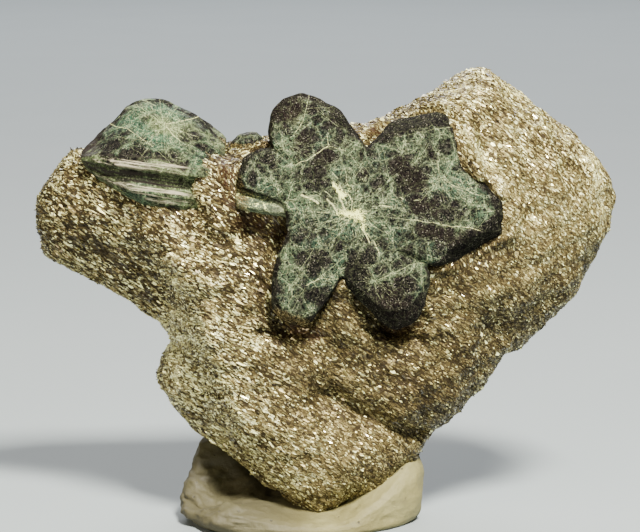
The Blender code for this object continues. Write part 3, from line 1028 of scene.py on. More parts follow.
@dataclass
class SchistMatrix:
    """The schist lump: an outline round a middle with a front and a back, and its mica."""

    middle: Pair = (1.3, 31.6)
    front: float = 12.4  # depth in front of the middle plane
    back: float = 12.8  # depth behind it
    front_thin: Triple = (3.0, 0.8, 2.4)  # how much thinner the arm, the toe and the lobe are
    back_thin: Triple = (3.4, 4.0, 1.4)
    shoulder: float = 5.5  # drop of the front below the arm
    back_step: float = 1.5  # drop of the back at the upper left
    back_edge: float = 13.0  # width of the rolled band behind
    roll: float = 2.3  # exponent of the rolled band's curve
    toe_shift: float = 6.0  # how far forward the toe's widest ring lies
    wave: Pair = (0.38, 0.22)  # heights of the swell and of the knots on it
    columns: int = 640
    rows: int = 152
    flakes: int = 122000  # scattered; those under the twin and in the putty are left out
    flake_pieces: int = 5
    flake_corners: int = 5
    flake_half: float = 0.25  # usual half length
    flake_halves: Pair = (0.12, 0.65)  # least and greatest half length
    flake_slim: Pair = (0.18, 0.36)  # least and greatest width over length
    flake_tilt: Pair = (0.36, 0.24)  # usual slopes across and along the grain
    flake_swing: float = 0.17  # usual turn out of the grain, in radians
    glints: float = 0.055  # share of flakes that are wider and painted much paler, a painted glint
    outline: Stops = (  # degrees and radius
        (4, 34.4), (9, 36.5), (14, 37.6), (20, 38), (26, 37), (31, 35.6), (36, 34.5),
        (42, 33.4), (51, 33), (54, 32.2), (56.5, 30.6), (59.5, 27.9), (62.5, 25.2), (66, 23),
        (70.5, 21.4), (80, 19.3), (102, 18.5), (121, 20), (137, 23.2), (146, 28.1),
        (154, 35.9), (158.5, 37.7), (169.5, 39.2), (173, 38.2), (176, 37.1), (178.5, 35),
        (184, 29.3), (189, 26.3), (194, 24.1), (198, 22.9), (204, 23.1), (208, 25),
        (212, 26.5), (218, 27.3), (231, 26.8), (245, 27.3), (254, 28.4), (260, 29.7),
        (267, 31), (273, 29.9), (283, 28.4), (289.5, 27.3), (300, 25.3), (309, 24.8),
        (332, 25.1), (338.5, 26.6), (345, 28.2), (351.5, 30.9), (357, 32.6),
    )
    edge: Stops = (  # degrees and width of the rolled band in front
        (10, 17), (35, 15), (60, 10), (90, 9), (150, 11), (172, 12), (190, 10), (205, 7),
        (225, 6.5), (262, 7), (285, 8), (310, 10), (335, 13),
    )
    front_relief: tuple[Line, ...] = (  # ridges and hollows: ends, half width, height
        ((-16.5, 30), (1, 7.5), 7.5, 1.3),
        ((0.5, 17.2), (14, 10.4), 2.3, -2.3),
        ((10, 23), (22, 22), 7, -0.9),
        ((25.8, 43.8), (27, 41), 2.6, -0.8),
        ((34, 44), (34.5, 41), 2.2, -0.9),
        ((22, 24.8), (28.5, 28.2), 2.2, -1.5),
        ((1.5, 30.6), (4, 27.6), 2.4, 1.6),
        ((21.5, 60), (27.5, 45), 3, 0.9),
        ((-11.2, 50), (-12.4, 41.5), 2.5, 2.2),
        ((-8.5, 37.8), (-5, 36.5), 2, -2.2),
        ((-21.5, 33), (-19, 29), 3, -1),
        ((-31, 43.5), (-16, 41), 3.6, -2.4),
    )
    back_relief: tuple[Line, ...] = (  # the same behind
        ((-10, 44), (16, 31), 8, 1.3),
        ((-6, 24), (14, 15), 3, -1.6),
        ((14, 50), (30, 38), 3.2, -1.7),
        ((-28, 41), (-16, 36), 4, 1.2),
    )
    bed: Stops = (  # degrees round the large twin, how far the schist laps up or falls away
        (0, 0.9), (23, 1.6), (45, 0.6), (66, 1.2), (78, 2.2), (92, 0.8), (120, 0.2), (141, 1.2),
        (160, 0.4), (186, 0), (205, -0.9), (225, -0.9), (240, -1.9), (252, -1), (261, 1.4),
        (272, -0.3), (285, -2), (300, -1.3), (314, 0.2), (325, 1.4), (338, 0), (352, 0.2),
    )
    scene_relief: tuple[Line, ...] = (  # more forms of the front, too fine for the solid
        ((-14, 50), (-14.6, 42.5), 1.2, 1.5),
        ((3, 26.5), (5.6, 25.2), 1.4, 0.7),
        ((-7.6, 25.8), (0.6, 25), 0.5, -0.9),
        ((5.4, 26.2), (12.6, 24.4), 0.6, -1),
        ((1.2, 17.4), (13.6, 10.8), 0.7, -0.9),
    )
    stains: tuple[Line, ...] = (  # rusty places: ends of a line, half width, strength
        ((-11.8, 46.5), (-11.4, 42.6), 0.9, 0.6),
        ((-9.6, 39.6), (-4.4, 38.2), 1.2, 0.8),
        ((4.6, 52.4), (7.2, 50.4), 1, 0.6),
        ((-9.2, 50.2), (-7, 49.4), 0.9, 0.5),
        ((-6, 26), (0.5, 25.6), 0.8, 0.7),
        ((8, 25), (12, 26.5), 0.8, 0.6),
    )
    tones_and_painted_light: tuple[Line, ...] = (  # paler or browner mica, and painted shade and highlight where the light falls: ends, half width, strength
        ((-3, 22), (12, 19), 6, -0.06),
        ((16, 20), (24, 26), 3, -0.12),
        ((-16, 20), (-6, 8), 6, 0.18),
        ((-34, 41), (-24, 39), 5, -0.15),
        ((-17.6, 34.5), (-18.4, 18), 2.2, 0.25),
        ((-31, 37), (-20.5, 29.5), 2.2, -0.28),
        ((17, 52), (23, 44), 0.8, 0.35),
        ((17, 35), (24, 36), 2.5, -0.15),
        ((1.5, 30.8), (2.5, 27.5), 1.5, -0.14),
        ((8, 22), (13, 15), 3, -0.13),
        ((-12.4, 48.8), (-11.6, 42.5), 1.8, -0.22),
        ((-15, 38.5), (-9.5, 34), 4, -0.17),
        ((20, 56), (32, 50), 6, 0.12),
        ((22, 40), (33, 38), 5, 0.17),
        ((-15, 30), (-12.5, 26.5), 2.2, 0.16),
        ((-31.5, 43), (-29, 40.5), 1.8, -0.1),
        ((34.8, 46.5), (36.4, 39.5), 1.2, 0.35),
        ((-1, 6), (5, 3.5), 2.5, 0.15),
        ((-6.8, 26.4), (0.6, 25.4), 0.8, -0.2),
        ((6, 26.2), (13, 24.4), 0.8, -0.15),
        ((-9.8, 39.6), (-4.6, 38.2), 1.2, -0.55),
        ((-7.6, 37.6), (-7.4, 27), 0.5, -0.35),
    )

    def depths(self, x: Array, z: Array) -> tuple[Array, Array]:
        """How far the front and the back stand from the middle plane: steps plus ridges.

        Args:
            x: millimetres to the right.
            z: millimetres up.

        Returns:
            Both depths in millimetres.
        """
        places = smooth(-x, 12, 34), smooth(-z, -16, -2), smooth(x, 18, 40)
        front, back = (
            full - sum(less * place for less, place in zip(thin, places))
            for full, thin in ((self.front, self.front_thin), (self.back, self.back_thin))
        )
        below_arm = smooth(-x - 0.4 * z, 3, 10) * smooth(-z - 0.2 * x, -38, -27)
        front = front - self.shoulder * below_arm + ridges(x, z, self.front_relief)
        back = back - self.back_step * smooth(z - 0.4 * x, 40, 44)
        return front, back + ridges(x, z, self.back_relief)

    def lumps(self, x: Array, y: Array, z: Array) -> Array:
        """The uneven swell of broken schist: two products of crossed sine waves.

        Args:
            x: millimetres to the right.
            y: millimetres back.
            z: millimetres up.

        Returns:
            Height in millimetres.
        """
        swell = np.sin(0.62 * x + 0.31 * z + 0.5 * y) * np.sin(0.48 * z - 0.27 * x + 1.3)
        knots = np.sin(1.35 * x - 0.8 * z + 0.6 * y + 0.7) * np.sin(1.1 * z + 0.9 * x + 2.1)
        return self.wave[0] * swell + self.wave[1] * knots

    def body(self, angle: Array, share: Array) -> Array:
        """Points of the lump by direction and by share of the way from front to back.

        A point lies at sin(pi share) of the outline's radius; its depth rises from the widest
        ring as sqrt(1 - (1 - inside / edge)^roll), where inside is the distance in from the
        outline and edge is the width of the rolled band.

        Args:
            angle: degrees from +X towards +Z.
            share: 0 at the front pole, 1 at the back pole.

        Returns:
            The points.
        """
        radius = closed_curve(angle, self.outline)
        turn = np.radians(angle)
        reach = np.sin(np.pi * share)
        x = self.middle[0] + radius * reach * np.cos(turn)
        z = self.middle[1] + radius * reach * np.sin(turn)
        front, back = self.depths(x, z)
        is_front = share <= 0.5
        edge = np.where(is_front, closed_curve(angle, self.edge), self.back_edge)
        wider, narrower = (closed_curve(angle + d, self.outline) for d in (5, -5))
        slant = (wider - narrower) / np.radians(10) / radius
        inside = (1 - reach) * radius / np.hypot(1, slant)
        rise = np.sqrt(1 - (1 - np.minimum(inside / edge, 1)) ** self.roll)
        widest = -self.toe_shift * smooth(-z, -15, -3)
        y = widest + np.where(is_front, -(front + widest), back - widest) * rise
        bump = self.lumps(x, y, z)
        x = x + bump * reach * np.cos(turn)
        z = z + bump * reach * np.sin(turn)
        y = y + bump * np.where(is_front, -1, 1) * (1 - reach**4)
        return np.stack([x, y, z], axis=-1)

    def foliation(self, points: Array) -> Array:
        """Unit normals of the foliation: its trace falls to the right, steeper at the upper right.

        Args:
            points: places in millimetres.

        Returns:
            One normal for each point.
        """
        x, _, z = np.moveaxis(points, -1, 0)
        steep = smooth(x, 16, 34) * smooth(z, 26, 44)
        wander = 7 * value_noise(points / 9.0, 5)
        fall = np.radians(33 + 24 * steep + wander)
        return unit(np.stack([np.sin(fall), 0 * fall + 0.35, np.cos(fall)], axis=-1))

    def grain(self, points: Array, normals: Array) -> Array:
        """Unit directions in the surface along which the flakes lie.

        Across the foliation's normal and the surface's, and near the large twin blended with
        the direction round its outline.

        Args:
            points: places in millimetres.
            normals: surface normals.

        Returns:
            One direction for each point.
        """
        along = unit(np.cross(self.foliation(points), normals))
        x, y, z = np.moveaxis(points, -1, 0)
        outside = TWIN.outside(x, y, z)
        near = smooth(-outside, -4.5, -0.5) * (y < -6)
        turn = np.radians(TWIN.face_place(x, y, z)[0])
        round_twin = np.stack([-np.sin(turn), 0 * turn, np.cos(turn)], axis=-1)
        sign = np.sign(np.sum(round_twin * along, axis=-1, keepdims=True))
        return unit(along + near[..., None] * 1.6 * sign * round_twin)

    def relief(self, points: Array) -> Array:
        """Height of the fine relief: ledges along the foliation, roughness and the twin's bed.

        Ledges are two saw waves of the distance across the foliation, bent by noise, the coarse
        one broken by it too. Round the large twin the schist laps up or falls away.

        Args:
            points: places in millimetres.

        Returns:
            Height above the body in millimetres.
        """
        x, y, z = np.moveaxis(points, -1, 0)
        across = np.sum(points * self.foliation(points), axis=-1)
        bend = fractal(points, 7.0, 11, 3)
        broken = smooth(fractal(points, 6.0, 23, 3), -0.5, 0.6)
        coarse = np.mod(across / 2.3 + 0.5 * bend, 1)
        fine = np.mod(across / 1.2 + 0.8 * bend + 0.4, 1)
        ledges = 0.12 * (coarse - 0.5) * broken + 0.13 * (fine - 0.5) + 0.07 * self.streaks(points)
        rough = 0.05 * fractal(points, 1.5, 31, 3) + 0.10 * fractal(points, 4.5, 37, 2)
        angle, _ = TWIN.face_place(x, y, z)
        outside = TWIN.outside(x, y, z)
        front = y < -6
        bed = closed_curve(angle, self.bed) * np.exp(-(((outside - 0.2) / 1.3) ** 2)) * front
        right = smooth(np.cos(np.radians(angle - 22)), 0.6, 0.9)
        lip = right * np.exp(-(((outside - 0.7) / 0.5) ** 2)) * front
        rough = rough + ridges(x, z, self.scene_relief) * front
        return ledges + rough + bed + 0.5 * lip

    def streaks(self, points: Array) -> Array:
        """Light and dark streaks along the foliation: noise stretched in the grain's direction.

        Args:
            points: places in millimetres.

        Returns:
            One number for each point, mostly between -1 and 1.
        """
        across = np.sum(points * self.foliation(points), axis=-1)
        along = points[..., 0] - 0.7 * points[..., 2]
        return fractal(np.stack([along * 0.16, across, points[..., 1] * 0.3], axis=-1), 0.6, 43, 3)

    def stain(self, points: Array) -> Array:
        """How rusty the schist is on the crystals' side: the strongest line, broken by noise.

        Args:
            points: places in millimetres.

        Returns:
            0 to 1.
        """
        x, y, z = np.moveaxis(points, -1, 0)
        total = np.zeros(x.shape)
        for start, end, width, strength in self.stains:
            total = np.maximum(total, strength * near_line(x, z, start, end, width))
        return total * (y < 0) * smooth(fractal(points, 1.6, 53, 2), -0.8, 0.2)

    def tone(self, points: Array) -> Array:
        """How much paler or browner the mica is at each place on the crystals' side, with painted
        shade and highlight.
        """
        x, y, z = np.moveaxis(points, -1, 0)
        return ridges(x, z, self.tones_and_painted_light) * (y < 0)

    def boldness(self, points: Array) -> Array:
        """How strongly light and dark mica differ: most on the left, and more at the top right."""
        x, _, z = np.moveaxis(points, -1, 0)
        return 0.72 + 0.85 * smooth(-x, 0, 14) + 0.5 * smooth(z + 0.3 * x, 48, 62)

    def surface(self) -> tuple[Array, Array]:
        """The finished skin: the body's grid raised by the fine relief.

        Returns:
            Points and their normals.
        """
        angle = np.arange(self.columns) * 360 / self.columns
        share = np.linspace(0, 1, self.rows)
        body = self.body(angle[None, :] + 0 * share[:, None], share[:, None] + 0 * angle[None, :])
        body[0], body[-1] = body[0, 0], body[-1, 0]
        points = raised(body, self.relief(body))
        points[0], points[-1] = points[0, 0], points[-1, 0]
        return points, grid_normals(points)

    def scatter(self, points: Array, normals: Array) -> tuple[Array, Array]:
        """Random places on the skin, evenly by area, with their normals.

        A cell of the grid is drawn by its area and a place in it by two even shares.

        Args:
            points: the skin's points.
            normals: its normals.

        Returns:
            Places and normals.
        """
        chance = np.random.default_rng(SEED)
        right = np.roll(points, -1, axis=1)
        across = np.linalg.norm(np.cross(points[1:] - points[:-1], (right - points)[:-1]), axis=-1)
        total = np.cumsum(across.ravel())
        picked = np.searchsorted(total, chance.random(self.flakes) * total[-1])
        row, column = np.divmod(picked, self.columns)
        after = (column + 1) % self.columns
        s, t = chance.random((2, self.flakes, 1))
        places, facing = (
            (grid[row, column] * (1 - s) + grid[row, after] * s) * (1 - t)
            + (grid[row + 1, column] * (1 - s) + grid[row + 1, after] * s) * t
            for grid in (points, normals)
        )
        x, y, z = places.T
        under_twin = (TWIN.outside(x, y, z) < -0.4) & (y < -4)
        in_putty = (z < 2.0) | ((z < 5.0) & (y > -4))
        keep = ~(under_twin | in_putty)
        return places[keep], unit(facing[keep])

    def flake_piece(self, name: str, places: Array, facing: Array, seed: int) -> bpy.types.Object:
        """Thin cornered flakes, each a shallow closed body with its point sunk in the skin.

        A corner lies at centre + long * cos + wide * sin of its angle; the sunk point lies
        below the centre.

        Args:
            name: the piece's name.
            places: the flakes' centres.
            facing: the skin's normals there.
            seed: picks the flakes' sizes and tilts.

        Returns:
            The piece.
        """
        chance = np.random.default_rng(seed)
        count, corners = len(places), self.flake_corners
        grain = self.grain(places, facing)
        side = np.cross(facing, grain)
        lean = np.clip(chance.normal(0, 1, (2, count, 1)), -2.2, 2.2)
        tilt = self.flake_tilt
        flat = unit(facing + tilt[0] * lean[0] * side + tilt[1] * lean[1] * grain)
        swing = chance.normal(0, self.flake_swing, (count, 1))
        long = unit(np.cross(np.cross(flat, grain * np.cos(swing) + side * np.sin(swing)), flat))
        wide = np.cross(flat, long)
        half = chance.lognormal(np.log(self.flake_half), 0.40, (count, 1))
        half = np.clip(half, *self.flake_halves)
        slim = chance.uniform(*self.flake_slim, (count, 1))
        # painted glints: wider flakes whose tint is raised to near white in flake_marks
        painted_glint = chance.random((count, 1)) < self.glints
        bold = self.boldness(places)[:, None]
        half, slim = half * (0.5 + 0.5 * bold), slim * np.where(painted_glint, 1.5, 1) / (0.6 + 0.4 * bold)
        k = np.arange(corners)
        turn = np.radians(k * 360 / corners + chance.uniform(-20, 20, (count, corners)))
        out = chance.uniform(0.78, 1.15, (count, corners))
        middle = places + facing * (0.01 + 0.10 * half * slim * np.abs(lean[0]))
        rim = (
            middle[:, None]
            + long[:, None] * (half * out * np.cos(turn))[..., None]
            + wide[:, None] * (half * slim * out * np.sin(turn))[..., None]
        )
        tip = middle - flat * (0.10 + 0.25 * half) - facing * 0.10
        points = np.concatenate([rim, tip[:, None]], axis=1).reshape(-1, 3)

        start = np.arange(count)[:, None] * (corners + 1)
        sides = np.stack([(k + 1) % corners, k, 0 * k + corners], axis=-1).ravel()
        loops = np.concatenate([(start + k).ravel(), (start + sides).ravel()])
        sizes = np.concatenate([np.full(count, corners), np.full(count * corners, 3)])
        marks = self.flake_marks(places, painted_glint[:, 0], chance)
        mesh = new_mesh(name, points, loops, sizes, rounded=False)
        return link_piece(mesh, marks, self.flake_map(count, sides))

    def flake_marks(self, places: Array, painted_glint: Array,
                    chance: np.random.Generator) -> dict[str, Array]:
        """Each flake's tint, dullness and stain: a few are painted much paler as glints, and streaks
        run through.

        Args:
            places: the flakes' centres.
            painted_glint: which of them are painted much paler, a painted glint.
            chance: the piece's random numbers.

        Returns:
            Numbers for each of a flake's points, by the name that materials read.
        """
        count = len(places)
        tint = chance.normal(-0.16, 0.13, count) + chance.exponential(0.24, count)
        tint = 0.30 + (tint + 0.22 * self.streaks(places)) * self.boldness(places)
        # the glint flakes are painted much paler, a painted highlight
        tint = tint + self.tone(places) + 0.6 * painted_glint
        marks = {"tint": np.clip(tint, 0, 1), "dull": chance.random(count),
                 "stain": self.stain(places)}
        points = self.flake_corners + 1
        return {name: np.repeat(numbers, points) for name, numbers in marks.items()}

    def flake_map(self, count: int, sides: Array) -> Array:
        """Map coordinates of the flakes: each has a square cell, its face left, its sides right.

        Args:
            count: how many flakes there are.
            sides: corner numbers of one flake's side faces, the last for the sunk point.

        Returns:
            Two numbers for each face corner.
        """
        cells = int(np.ceil(np.sqrt(count)))
        number = np.arange(count)
        origin = np.stack([number % cells, number // cells], axis=-1)[:, None]
        turn = 2 * np.pi * np.arange(self.flake_corners) / self.flake_corners
        ring = np.stack([np.cos(turn), np.sin(turn)], axis=-1)
        face = origin + (0.27, 0.5) + 0.2 * ring
        points = np.vstack([ring, [(0, 0)]])[sides]
        wall = origin + (0.73, 0.5) + 0.2 * points
        return np.concatenate([face.ravel(), wall.ravel()]) / cells

    def build(self) -> None:
        """Make the skin and its flakes, dress them and report them."""
        points, normals = self.surface()
        # the tone carries painted shade and highlight as well as paler or browner mica
        tint = self.tone(points) + 0.15 * self.streaks(points)
        marks = {"stain": self.stain(points), "tint": tint, "bold": self.boldness(points)}
        skin = closed_grid("schist_skin", points, marks)
        settle(skin, SchistGround().material(), Slot.SCHIST, "mica_schist_matrix")
        places, facing = self.scatter(points, normals)
        mica = MicaFlakes().material()
        parts = zip(np.array_split(places, self.flake_pieces),
                    np.array_split(facing, self.flake_pieces))
        for number, (some, their_facing) in enumerate(parts, start=1):
            piece = self.flake_piece(f"mica_flakes_{number}", some, their_facing, SEED + number)
            settle(piece, mica, Slot.SCHIST)


@dataclass
class LargeTwin:
    """The six-lobed twin: a fibrous face with a sloping rim, veins and a pale star."""

    shape: TwinShape = field(default_factory=TwinShape)
    columns: int = 860
    row_counts: tuple[int, ...] = (38, 36, 12, 18, 5)  # in the face, its outer part, rim, side, back
    sutures: tuple[Line, ...] = (  # grooves in from the notches: ends, half width, depth
        ((1.8, 8.3), (1.5, 6), 0.5, 0.25),
        ((-10.3, 8.2), (-7, 6), 0.4, 0.25),
        ((-1.3, -8.5), (-1, -6.8), 0.5, 0.35),
        ((9.6, -6.7), (5.8, -5), 0.45, 0.5),
    )
    stars: tuple[tuple[Pair, float, float], ...] = (  # centre, reach, strength
        ((0.2, 0), 8.5, 1),
        ((11.1, 4.1), 4.2, 0.8),
        ((-7.8, 8.4), 4, 0.6),
        ((2.8, -8.5), 4, 0.6),
    )
    veins: tuple[Line, ...] = (  # pale veins in the face: ends, half width, strength
        ((-1.7, 0.4), (-0.4, -0.2), 0.11, 0.9), ((-1.3, -0.7), (-0.4, -0.2), 0.1, 0.9),
        ((-1, 0.6), (-0.6, -0.3), 0.11, 0.9), ((0.4, -0.3), (1.7, 0), 0.12, 0.9),
        ((0.5, -0.4), (1.3, -1.3), 0.11, 0.9), ((1, 0.6), (0.7, -0.3), 0.11, 0.9),
        ((0.2, -1.4), (0.8, -0.4), 0.1, 0.9), ((-0.1, 0.9), (0, -0.5), 0.09, 0.8),
        ((3.4, 0.9), (4.6, 0.8), 0.14, 0.8),
        ((-1.5, 1.6), (-0.9, 0), 0.17, 1), ((-2.9, 1.6), (-2, 0.3), 0.18, 1),
        ((-2.3, 3.6), (-1.6, 2.2), 0.2, 1), ((-1.5, 3.2), (-1, 2.2), 0.16, 1),
        ((-0.9, 5.1), (-0.6, 4.1), 0.09, 0.7), ((-2.4, 4.9), (-2, 4.5), 0.11, 0.7),
        ((-3.2, 2.6), (-2.7, 2.2), 0.08, 0.7), ((-0.6, 2.3), (-0.2, 1.6), 0.12, 0.9),
        ((-6.1, 2.1), (-4.4, 1.3), 0.2, 1), ((2.8, -3.8), (3.4, -4.9), 0.11, 0.9),
        ((1.4, -2.2), (2, -3.4), 0.13, 1), ((1.5, -0.8), (3.6, -2.2), 0.05, 0.6),
        ((-0.4, -1.2), (-2.8, -3.8), 0.05, 0.6), ((-2.8, -3.8), (-5.4, -4.6), 0.04, 0.5),
        ((-1.4, -0.6), (-4.6, -1.4), 0.05, 0.6), ((-2.1, 0.1), (-5.6, -0.4), 0.04, 0.5),
        ((0.6, 0.6), (0.2, 4.5), 0.05, 0.5), ((0.2, 4.5), (1.3, 5.8), 0.05, 0.6),
        ((1.3, 5.8), (2.4, 4.5), 0.04, 0.5), ((1, 0.8), (3.4, 3.2), 0.04, 0.5),
        ((2, -0.2), (6.7, -0.8), 0.05, 0.6), ((6.7, -0.8), (10, -1.2), 0.04, 0.9),
        ((10, -1.2), (15.6, -2.1), 0.055, 1), ((2.2, 0.4), (5.9, 2), 0.04, 0.5),
        ((5.8, 2), (6.1, 1.9), 0.12, 0.8), ((8, 1.5), (8.3, 1.5), 0.13, 0.7),
        ((11.1, 4.1), (15.1, 2.4), 0.06, 0.8), ((15.1, 2.4), (17.1, 2), 0.04, 0.5),
        ((11.1, 4.1), (12.9, 6.9), 0.05, 0.6), ((11.1, 4.1), (9.2, 2.8), 0.06, 0.7),
        ((11.1, 4.1), (8.6, 1.6), 0.04, 0.5), ((11.1, 4.1), (14.6, 4.4), 0.04, 0.5),
        ((10.7, 7.3), (10.7, 5.1), 0.05, 0.8), ((5.8, 9.4), (10, 10.3), 0.04, 0.6),
        ((10, 10.3), (12.8, 10.8), 0.05, 0.7), ((3.8, 8), (4.6, 4), 0.04, 0.6),
        ((4.6, 4), (4.9, 1.5), 0.04, 0.5), ((9.2, 8.2), (7.5, 6), 0.05, 0.6),
        ((-5.3, 14.5), (-6.1, 11.4), 0.06, 0.7), ((-6.1, 11.4), (-7, 10.1), 0.07, 0.8),
        ((-4.2, 12.6), (-1.8, 10.8), 0.05, 0.5), ((-5.2, 13), (-2.6, 13.2), 0.04, 0.5),
        ((-3, 9.5), (-3, 8.4), 0.07, 0.8), ((-3, 8.4), (-5.6, 6.5), 0.07, 1),
        ((-5.6, 6.5), (-7.1, 5.9), 0.06, 0.9), ((-7.1, 5.9), (-9.5, 5.4), 0.04, 0.6),
        ((-2.9, 8.3), (-0.7, 7.7), 0.05, 0.8), ((-4.1, 0.1), (-2.8, 0), 0.1, 0.8),
        ((-8.4, 8.6), (-7.6, 6.2), 0.05, 0.5), ((-9.8, 7.6), (-8.2, 6.4), 0.04, 0.5),
        ((-1, -5.6), (-4.9, -8.7), 0.05, 0.7), ((-5.4, -8.9), (-3.7, -8.1), 0.09, 0.8),
        ((-3.7, -8.1), (-1.5, -8.3), 0.06, 0.7), ((-4.4, -3.8), (-8, -9.8), 0.05, 0.6),
        ((-6.2, -7), (-8.8, -7.6), 0.04, 0.5), ((-6, -9.6), (-7.4, -12), 0.04, 0.5),
        ((2.8, -8.5), (7.1, -6.5), 0.06, 0.7), ((7.1, -6.5), (9.6, -6.1), 0.05, 0.5),
        ((2.1, -6.9), (3.3, -10.4), 0.05, 0.5), ((8.6, -7.2), (8.8, -10.4), 0.04, 0.5),
    )
    cores: tuple[Line, ...] = (  # pale knots: ends, half width, strength
        ((-1.6, -0.2), (-0.8, -0.1), 0.6, 0.65), ((0.4, -0.1), (1, -0.6), 0.85, 0.75),
        ((0, 0), (0.2, 0), 2.8, 0.6), ((5.7, 2), (6.1, 1.9), 0.25, 0.8),
        ((-2.3, 3.4), (-1.3, 2.2), 0.65, 1.15), ((3.4, 0.9), (4.6, 0.8), 0.3, 0.9),
        ((1.4, -1.8), (2.2, -3.4), 0.5, 0.75), ((-5, -8.7), (-4.6, -8.5), 0.25, 0.7),
        ((-6.2, 2.1), (-4.8, 1.6), 0.32, 1), ((-0.8, 4.6), (-0.4, 3), 0.45, 0.75),
        ((10.8, 4.2), (11.4, 4), 0.7, 0.6), ((-3, 8.6), (-5.4, 6.7), 0.16, 0.5),
    )
    hazes: tuple[Line, ...] = (  # green clouds along lines: ends, half width, strength
        ((0, 0), (0.4, 0), 2.6, 1), ((-0.6, 2), (-1.6, 5), 1.6, 0.5),
        ((11.1, 4.1), (15.6, 2.2), 1.1, 1.1), ((11.1, 4.1), (12.8, 6.9), 0.8, 0.8),
        ((11.1, 4.1), (9, 2.9), 0.8, 0.8), ((13.2, 2.9), (16.5, 0.3), 1.3, 0.5),
        ((9.2, 8.2), (7.3, 5.9), 0.5, 0.8), ((5.8, 8.9), (11.8, 9.8), 0.8, 0.6),
        ((3.8, 8), (4.6, 4), 0.45, 0.6), ((4.6, 4), (4.9, 1.5), 0.45, 0.5),
        ((1.5, 5.9), (2.5, 4.4), 0.4, 0.6), ((0.4, 8.4), (0.2, 4.5), 1, 0.5),
        ((16.5, -0.1), (14.2, -1.4), 0.8, 0.7), ((12.9, -2.6), (13.2, -3), 0.9, 0.6),
        ((6.7, -0.8), (15.6, -2.1), 0.4, 0.4), ((-5.3, 14.5), (-6.1, 11.4), 0.5, 0.6),
        ((-6.1, 11.4), (-7.8, 8.7), 0.6, 0.8), ((-8.4, 8.6), (-8, 6), 1.5, 0.6),
        ((-3, 9.2), (-5.6, 6.5), 0.5, 0.6), ((-5.6, 6.5), (-10.5, 5.4), 0.6, 0.6),
        ((-2.9, 8.3), (0.2, 7.6), 0.5, 0.5), ((-7.8, 6.3), (-7.6, 2.9), 0.8, 0.5),
        ((-11, 3.4), (-5, 1.6), 0.9, 0.7), ((-4, -0.5), (-9, -2), 1, 0.4),
        ((-9, 0.6), (-5.5, 0.9), 0.7, 1),
        ((-0.2, -2.2), (-4.4, -3.8), 0.6, 0.7), ((-4.4, -3.8), (-8.2, -5), 0.7, 0.6),
        ((-4.4, -3.8), (-8, -9.8), 0.5, 0.6), ((-8, -5.3), (-8.2, -8.2), 1.1, 1),
        ((-1, -5.6), (-5, -8.8), 0.5, 0.8), ((-1.6, -6.2), (-1.4, -7.4), 0.9, 0.8),
        ((-5.4, -8.9), (-1.5, -8.2), 0.4, 0.7), ((-7.7, -11.6), (-6, -12.4), 1.2, 0.7),
        ((2.8, -8.5), (9.6, -6.1), 0.6, 0.9), ((2.1, -6.9), (3.4, -10.6), 0.6, 0.7),
        ((9, -7), (8.4, -11), 0.9, 0.5), ((1.4, -1.4), (3.4, -4.8), 0.5, 0.6),
        ((2.5, -1.5), (9, -4.2), 1.2, 0.4),
    )
    shades: tuple[Line, ...] = (  # clear black places between them, and painted shadow on sloping rims that face down: ends, half width, strength
        ((-7.9, 12.2), (-7, 12.6), 1.5, 1.1), ((-6.5, 9.4), (-6.2, 9), 0.9, 0.9),
        ((-6.6, 7), (-6.4, 6.7), 0.6, 0.7), ((-10.2, 6.4), (-9.6, 6.1), 0.9, 0.7),
        ((-4.4, 6.4), (-3, 7.2), 1.3, 0.9), ((-4.6, 4), (-4, 3.8), 0.9, 0.8),
        ((1.4, 5), (1.6, 4.6), 0.7, 1), ((-1.8, 12), (-0.6, 11.2), 1.1, 1),
        ((-4.8, 13.2), (-4.2, 12.6), 0.8, 0.6), ((4, 10.2), (11.8, 12.6), 1.1, 1.3),
        ((6.2, 5.8), (7.4, 5), 1.2, 1.2), ((8.2, 4), (8.6, 3.4), 1, 1.2),
        ((6.4, 3.2), (6.8, 3), 0.8, 0.8), ((9.4, 7.9), (9.6, 7.5), 0.6, 0.9),
        ((13.4, 10.8), (13.4, 7.6), 0.5, 1), ((8.2, 0.9), (9.8, 0.6), 1.2, 0.9),
        ((12.4, 0.1), (13.2, -0.3), 1, 0.7), ((9.2, -2.4), (11.8, -3), 1.2, 1),
        ((13.6, -4), (19.6, -0.6), 1.1, 1.4), ((-5.4, -5.4), (-4.6, -6), 1.4, 1),
        ((-1.6, -4.2), (-1.3, -4), 0.8, 0.7), ((0.4, -6.2), (0.9, -7.6), 1.2, 1),
        ((-4.8, -9.9), (-4.2, -10.3), 1.1, 0.9), ((6.2, -8.4), (6.8, -8.8), 1, 0.9),
        ((4.6, -11), (6.6, -13), 2, 1.3), ((2.2, -3.2), (3, -3.8), 0.7, 0.6),
        ((-0.8, -8.9), (4.4, -13.9), 0.8, 1.3), ((-9.6, -1), (-9.4, -2), 1, 0.8),
        ((1.5, -7.5), (3, -9.8), 1, 0.6), ((-0.6, -6.6), (-0.2, -8.4), 0.6, 0.6),
    )
    maroons: tuple[Line, ...] = (  # reddish black places: ends, half width, strength
        ((6, 5.4), (8.4, 3.6), 1.6, 0.5), ((4.6, -10.6), (6.8, -13.2), 2, 0.7),
        ((-8.4, 11.8), (-6.8, 12.8), 1.6, 0.8), ((8.4, 0.8), (10.2, 0.6), 1.3, 0.5),
        ((9, -2.4), (13, -3), 1.3, 0.55), ((13.6, 2), (14.4, 1.8), 0.7, 0.6),
        ((-6.6, 9.6), (-6.2, 8.8), 0.9, 0.5), ((-4.4, 6.2), (-3.2, 7), 1.3, 0.4),
        ((-9.8, -1), (-9.4, -2.2), 1, 0.9),
    )
    crusts: tuple[Line, ...] = (  # mica grown on the rim: ends, half width, strength
        ((-9.6, -12.6), (-4.4, -14.4), 1.2, 0.6), ((-14.4, 5.4), (-13.2, 1.8), 0.9, 0.42),
    )
    corner_softening: int = 14

